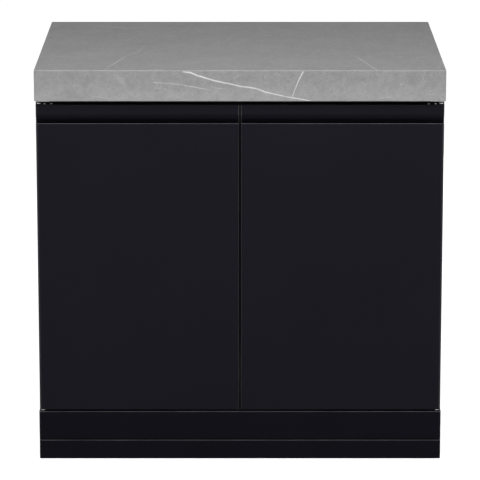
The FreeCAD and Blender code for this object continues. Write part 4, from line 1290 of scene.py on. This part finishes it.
@dataclass
class Worktop:
    """The stone top: a top board and four mitred, eased edge boards, on battens and pads."""

    top_veins: tuple[Vein, ...] = (
        Vein(((-0.304, -0.350, 0.20), (-0.292, -0.292, 0.30), (-0.280, -0.245, 0.60),
              (-0.261, -0.159, 0.32), (-0.235, -0.093, 0.34), (-0.221, -0.025, 0.05)),
             2.2 * MM, 1.6 * MM),
        Vein(((0.262, -0.153, 0.06), (0.273, -0.197, 0.42), (0.296, -0.303, 0.38),
              (0.306, -0.350, 0.30)), 2.0 * MM, 2.4 * MM),
        Vein(((-0.353, 0.289, 0.06), (-0.333, 0.275, 0.26), (-0.262, 0.248, 0.20),
              (-0.121, 0.241, 0.04)), 3.0 * MM, 2.6 * MM),
        Vein(((0.391, -0.185, 0.05), (0.407, -0.175, 0.26), (0.460, -0.164, 0.14)),
             2.2 * MM, 1.8 * MM),
        Vein(((-0.455, -0.163, 0.14), (-0.369, -0.178, 0.12), (-0.297, -0.203, 0.02)),
             2.4 * MM, 2.0 * MM),
    )
    front_veins: tuple[Vein, ...] = (
        Vein(((-0.126, 0.9020, 0.60), (-0.111, 0.9005, 1.0), (-0.094, 0.8930, 1.0),
              (-0.065, 0.8840, 0.95), (0.002, 0.8690, 0.85), (0.039, 0.8630, 0.90),
              (0.056, 0.8560, 0.90), (0.091, 0.8480, 0.85), (0.157, 0.8360, 0.80)),
             2.8 * MM, 2.0 * MM),
        Vein(((0.140, 0.9010, 0.80), (0.132, 0.8850, 0.85), (0.117, 0.8470, 0.60)),
             2.0 * MM, 1.7 * MM),
        Vein(((-0.192, 0.8775, 0.40), (-0.164, 0.8755, 0.22), (-0.131, 0.8730, 0.35),
              (-0.104, 0.8680, 0.50), (-0.086, 0.8640, 0.45), (-0.061, 0.8600, 0.06)),
             2.0 * MM, 1.8 * MM),
        Vein(((-0.059, 0.8670, 0.08), (-0.047, 0.8645, 0.35), (-0.028, 0.8645, 0.04)),
             1.8 * MM, 1.4 * MM),
        Vein(((-0.345, 0.8500, 0.05), (-0.324, 0.8460, 0.28), (-0.306, 0.8430, 0.26),
              (-0.275, 0.8395, 0.06)), 1.8 * MM, 2.0 * MM),
        Vein(((0.294, 0.8400, 0.05), (0.325, 0.8440, 0.22), (0.356, 0.8455, 0.04)),
             2.4 * MM, 2.0 * MM),
        Vein(((-0.280, 0.8975, 0.06), (-0.262, 0.8790, 0.18), (-0.251, 0.8630, 0.04)),
             9.0 * MM, 9.0 * MM),
        # The last is no vein but a wide pale band, strongest at the board's lower edge and fading
        # upwards.
        Vein(((-0.460, 0.8330, 0.10), (0.460, 0.8330, 0.10)), 55.0 * MM, 55.0 * MM),
    )
    rear_veins: tuple[Vein, ...] = (
        Vein(((0.210, 0.9020, 0.60), (0.090, 0.8760, 0.85), (-0.020, 0.8610, 0.80),
              (-0.150, 0.8380, 0.70)), 2.6 * MM, 1.8 * MM),
    )
    left_veins: tuple[Vein, ...] = (
        Vein(((-0.120, 0.9020, 0.60), (-0.010, 0.8800, 0.80), (0.090, 0.8660, 0.75),
              (0.205, 0.8380, 0.60)), 2.4 * MM, 1.7 * MM),
        Vein(((0.020, 0.9020, 0.30), (-0.010, 0.8800, 0.50)), 1.5 * MM, 1.4 * MM),
    )
    right_veins: tuple[Vein, ...] = (
        Vein(((0.160, 0.9020, 0.50), (0.040, 0.8720, 0.75), (-0.070, 0.8560, 0.70),
              (-0.160, 0.8380, 0.55)), 2.6 * MM, 1.8 * MM),
    )

    def build(self) -> None:
        """Dress the boards and what carries them."""
        boards = {
            "worktop_slab": (Board.TOP, self.top_veins),
            "worktop_apron_front": (Board.FRONT_OR_REAR, self.front_veins),
            "worktop_apron_rear": (Board.FRONT_OR_REAR, self.rear_veins),
            "worktop_apron_left": (Board.SIDE, self.left_veins),
            "worktop_apron_right": (Board.SIDE, self.right_veins),
        }
        for node, (board, veins) in boards.items():
            dress(node, STONE.material(node, board, veins))
        dress("worktop_battens", shared(BATTEN_BOARD))
        dress("worktop_pads", shared(RUBBER))


class Side(Enum):
    """The two doors."""

    LEFT = "left"
    RIGHT = "right"


@dataclass
class Carcass:
    """The folded-sheet box with its shelf, catch and fixings."""

    sheets: tuple[str, ...] = ("side_panel_left", "side_panel_right", "top_rail_front",
                               "top_rail_rear", "floor_panel", "back_panel", "shelf")
    screws: tuple[str, ...] = ("carcass_screws", "back_panel_screws", "worktop_screws")

    def build(self) -> None:
        """Dress the sheets and fittings, and set the screws."""
        for node in self.sheets:
            dress(node, CARCASS_COAT.material(node))
        fittings: dict[str, PlainFinish] = {
            "shelf_pilasters": ALUMINIUM, "shelf_pins": ZINC_STEEL, "catch_body": BLACK_PLASTIC,
            "catch_magnets": MAGNET, "door_bumpers": RUBBER, "service_grommet": RUBBER}
        for side in Side:
            fittings[f"top_pivot_bracket_{side.value}"] = STAINLESS
            fittings[f"bottom_pivot_bracket_{side.value}"] = STAINLESS
        for node, finish in fittings.items():
            dress(node, shared(finish))
        for node in self.screws:
            ScrewSet().build(node, CABINET)


@dataclass
class Base:
    """The fascia rail, the plinth and the plates that take the feet."""

    rails: tuple[str, ...] = ("fascia_rail", "plinth_front", "plinth_rear", "plinth_left",
                              "plinth_right")

    def build(self) -> None:
        """Dress the rails, end caps and corner plates."""
        for node in self.rails:
            dress(node, BASE_COAT.material(node))
        dress("fascia_end_caps", shared(BLACK_PLASTIC))
        dress("corner_plates", shared(ZINC_STEEL))


@dataclass(frozen=True)
class Ring:
    """A bored ring with eased rims: its axis, its radii and the heights of its faces."""

    axis: Vector
    bore: float
    radius: float
    low: float
    high: float
    ease: float = 0.3 * MM

    def section(self) -> list[Span]:
        """Draw half the ring's section, walked so that its faces look out.

        Returns:
            Radii and heights.
        """
        rim = self.radius - self.ease
        return [(self.bore, self.low), (rim, self.low), (self.radius, self.low + self.ease),
                (self.radius, self.high - self.ease), (rim, self.high), (self.bore, self.high)]


def turn(name: str, rings: Sequence[Ring], material: Material) -> Object:
    """Turn rings on their upright axes, as one piece whose upright faces are smooth.

    Args:
        name: The piece's name.
        rings: The rings.
        material: What they are made of.

    Returns:
        The piece.
    """
    corners: list[Triple] = []
    faces: list[tuple[int, ...]] = []
    for ring in rings:
        first = len(corners)
        section = ring.section()
        count = len(section)
        for step in range(RING_STEPS):
            angle = 2.0 * math.pi * step / RING_STEPS
            for radius, height in section:
                corners.append((ring.axis.x + radius * math.cos(angle),
                                ring.axis.y + radius * math.sin(angle), height))
            here = first + step * count
            beside = first + (step + 1) % RING_STEPS * count
            for index in range(count):
                after = (index + 1) % count
                faces.append((here + index, beside + index, beside + after, here + after))
    mesh = bpy.data.meshes.new(name)
    mesh.from_pydata(corners, [], faces)
    for face in mesh.polygons:
        face.use_smooth = abs(face.normal.z) < UPRIGHT_BELOW
    mesh.materials.append(material)
    LOG.info("turned %s with %d faces", name, len(faces))
    return add_object(name, mesh)


@dataclass
class Door:
    """One door: a folded skin, its finger pull, a liner and the pivots at its outer corners."""

    side: Side
    pin_bore: float = 4.05 * MM
    thrust_radius: float = 6.0 * MM
    head_radius: float = 5.0 * MM
    head_height: float = 3.0 * MM
    bush_radius: float = 4.7 * MM

    def build(self) -> None:
        """Dress the door and set its pivot screws and rings."""
        side = self.side.value
        coats = {"door_skin": DOOR_COAT, "finger_pull": PULL_COAT, "door_liner": LINER_COAT}
        for node, coat in coats.items():
            dress(f"{node}_{side}", coat.material(f"{node}_{side}"))
        fittings: dict[str, PlainFinish] = {
            "pull_end_caps": HIGHLIGHTED_CAP_PLASTIC, "top_pivot_block": PIVOT_PLASTIC,
            "bottom_pivot_block": PIVOT_PLASTIC, "strike_plate": STAINLESS}
        for node, finish in fittings.items():
            dress(f"{node}_{side}", shared(finish))
        ScrewSet().build(f"pivot_screws_{side}", f"{side}_door")
        self._pivot_rings(side)

    def _pivot_rings(self, side: str) -> None:
        """Turn the ring under the door, and the ring and the bush on top of it.

        Args:
            side: The door's side.
        """
        node = f"pivot_washers_{side}"
        low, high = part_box(node)
        axis = (low + high) / 2.0
        door_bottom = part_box(f"door_skin_{side}")[0].z
        door_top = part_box(f"finger_pull_{side}")[1].z
        neck = door_top + self.head_height
        thrust = Ring(axis, self.pin_bore, self.thrust_radius, low.z, door_bottom)
        head = Ring(axis, self.pin_bore, self.head_radius, door_top, neck)
        bush = Ring(axis, self.pin_bore, self.bush_radius, neck, high.z)
        rings = turn(f"pivot_rings_{side}", [thrust, head], shared(POLISHED_STEEL))
        collar = turn(f"pivot_bush_{side}", [bush], shared(PIVOT_PLASTIC))
        stand_in(rings, f"{side}_door", node)
        stand_in(collar, f"{side}_door", node)


class Corner(Enum):
    """The four corners that stand on feet."""

    FRONT_LEFT = "front_left"
    FRONT_RIGHT = "front_right"
    REAR_LEFT = "rear_left"
    REAR_RIGHT = "rear_right"


@dataclass
class LevellingFoot:
    """One foot: a moulded pad and a threaded stud with a hexagon to turn it by."""

    corner: Corner
    hexagon_height: float = 9.0 * MM
    crest_radius: float = 5.0 * MM
    thread_depth: float = 0.65 * MM
    pitch: float = 1.5 * MM

    def build(self) -> None:
        """Dress the pad and make the stud."""
        body = f"{self.corner.value}_foot"
        node = f"{body}_stud"
        dress(f"{body}_pad", shared(BLACK_PLASTIC))
        low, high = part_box(node)
        middle = (low + high) / 2.0
        points = bpy.data.meshes.new(f"{node}_seat")
        points.from_pydata([(0.0, 0.0, 0.0)], [], [])
        piece = grow(f"{node}_thread", points, StudTree.built(), {
            "Seat": (middle.x, middle.y, low.z), "Hexagon Radius": (high.x - low.x) / 2.0,
            "Hexagon Height": self.hexagon_height, "Crest Radius": self.crest_radius,
            "Thread Depth": self.thread_depth, "Pitch": self.pitch, "Length": high.z - low.z,
            "Material": shared(ZINC_STEEL)})
        stand_in(piece, body, node)


def aim(thing: Object, place: Vector, target: Vector) -> None:
    """Put a light or a camera in its place, and turn it to what it looks at.

    Args:
        thing: The light or the camera.
        place: Where it stands.
        target: What it looks at.
    """
    thing.location = place
    thing.rotation_euler = (target - place).to_track_quat("-Z", "Y").to_euler()


@dataclass(frozen=True)
class Softbox:
    """A soft rectangular light."""

    name: str
    place: Triple
    target: Triple
    width: float
    height: float
    power: float

    def hang(self) -> None:
        """Put the light up."""
        data = bpy.data.lights.new(self.name, "AREA")
        data.shape = "RECTANGLE"
        data.size = self.width
        data.size_y = self.height
        data.energy = self.power
        lamp = add_object(self.name, data)
        lamp.visible_camera = False
        aim(lamp, Vector(self.place), Vector(self.target))


@dataclass
class Studio:
    """A pale floor, soft light and the camera."""

    floor_half: float = 40.0
    floor_colours: tuple[Colour, Colour] = (grey(0.78), grey(0.80))
    floor_drift: float = 0.8
    floor_roughness: float = 0.9
    floor_specular: float = 0.1
    floor_glow: float = 0.80
    floor_mirrored: Span = (0.02, 0.78)
    floor_mirrored_reach: Span = (0.6, 3.2)
    floor_edge: float = 3.0 * MM
    world_strength: float = 0.31
    elevation: float = math.radians(12.85)
    distance: float = 7.45
    aim_below_centre: float = 14.5 * MM
    lens: float = 236.0
    sensor: float = 36.0
    clip: Span = (0.1, 200.0)
    softboxes: tuple[Softbox, ...] = (
        Softbox("key_softbox", (0.0, -1.4, 2.3), (0.0, -0.2, 0.8), 2.6, 1.0, 36.0),
        Softbox("fill_softbox", (0.0, -3.2, 1.7), (0.0, -0.3, 0.7), 3.0, 1.2, 8.0),
        Softbox("left_softbox", (-2.6, -1.6, 1.3), (0.0, -0.2, 0.5), 0.8, 1.8, 8.0),
        Softbox("right_softbox", (2.6, -1.6, 1.3), (0.0, -0.2, 0.5), 0.8, 1.8, 8.0),
        Softbox("rear_softbox", (0.8, 3.2, 0.45), (0.0, 0.3, 0.45), 2.4, 0.8, 9.0),
    )

    def build(self, low: Vector, high: Vector) -> None:
        """Set up the floor, the light and the camera.

        Args:
            low: The object's lowest corner.
            high: The object's highest corner.
        """
        self._floor()
        self._sky()
        for softbox in self.softboxes:
            softbox.hang()
        self._camera((low + high) / 2.0)
        bpy.context.scene.view_settings.view_transform = "Standard"

    def _floor(self) -> None:
        """Lay the floor, which glows to the camera, and in mirrors more the farther off it is."""
        half = self.floor_half
        mesh = bpy.data.meshes.new("studio_floor")
        mesh.from_pydata([(-half, -half, 0.0), (half, -half, 0.0), (half, half, 0.0),
                          (-half, half, 0.0)], [], [(0, 1, 2, 3)])
        surface = Surface("studio_floor")
        shader, point = surface.shader, surface.point
        drift = surface.ramp(surface.noise(point, self.floor_drift), *NOISE_SPAN)
        surface.feed(shader["Base Color"], surface.blend(drift, *self.floor_colours))
        shader["Roughness"].default_value = self.floor_roughness
        shader["Specular IOR Level"].default_value = self.floor_specular
        shader["Emission Color"].default_value = grey(1.0)
        rays = surface.add("ShaderNodeLightPath").outputs
        far = surface.vector("LENGTH", point)
        mirrored = surface.ramp(far, *self.floor_mirrored_reach, *self.floor_mirrored)
        seen = surface.math("MULTIPLY_ADD", rays["Is Glossy Ray"], mirrored, rays["Is Camera Ray"])
        lit = surface.product(seen, self._open_floor(surface))
        surface.feed(shader["Emission Strength"], surface.product(lit, self.floor_glow))
        mesh.materials.append(surface.material)
        floor = add_object("studio_floor", mesh)
        floor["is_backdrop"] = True

    def _open_floor(self, surface: Surface) -> Socket:
        """Tell the open floor from the floor under the unit.

        Args:
            surface: The floor's nodes.

        Returns:
            1 on the open floor and 0 under the unit.
        """
        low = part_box("plinth_front")[0]
        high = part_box("plinth_rear")[1]
        inset = surface.inset(surface.point, low, high)
        depth = surface.math("MINIMUM", inset["X"], inset["Y"])
        return surface.ramp(depth, 0.0, self.floor_edge, 1.0, 0.0)

    def _sky(self) -> None:
        """Light the room evenly."""
        world = bpy.data.worlds.new("studio_sky")
        world.use_nodes = True
        background = world.node_tree.nodes["Background"].inputs
        background["Color"].default_value = grey(1.0)
        background["Strength"].default_value = self.world_strength
        bpy.context.scene.world = world

    def _camera(self, centre: Vector) -> None:
        """Stand the camera in front of the doors, a little above them.

        Args:
            centre: The middle of the object.
        """
        back = Vector((0.0, -math.cos(self.elevation), math.sin(self.elevation)))
        up = Vector((0.0, math.sin(self.elevation), math.cos(self.elevation)))
        data = bpy.data.cameras.new("studio_camera")
        data.lens = self.lens
        data.sensor_width = self.sensor
        data.clip_start, data.clip_end = self.clip
        camera = add_object("studio_camera", data)
        target = centre - up * self.aim_below_centre
        aim(camera, target + back * self.distance, target)
        bpy.context.scene.camera = camera


def main() -> None:
    """Build the unit, sub-assembly by sub-assembly, and the studio round it."""
    logging.basicConfig(level=logging.INFO, format="%(name)s: %(message)s")
    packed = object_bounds()
    Studio().build(*packed)
    for assembly in (Worktop(), Carcass(), Base()):
        assembly.build()
    for side in Side:
        Door(side).build()
    for corner in Corner:
        LevellingFoot(corner).build()


if __name__ == "__main__":
    main()
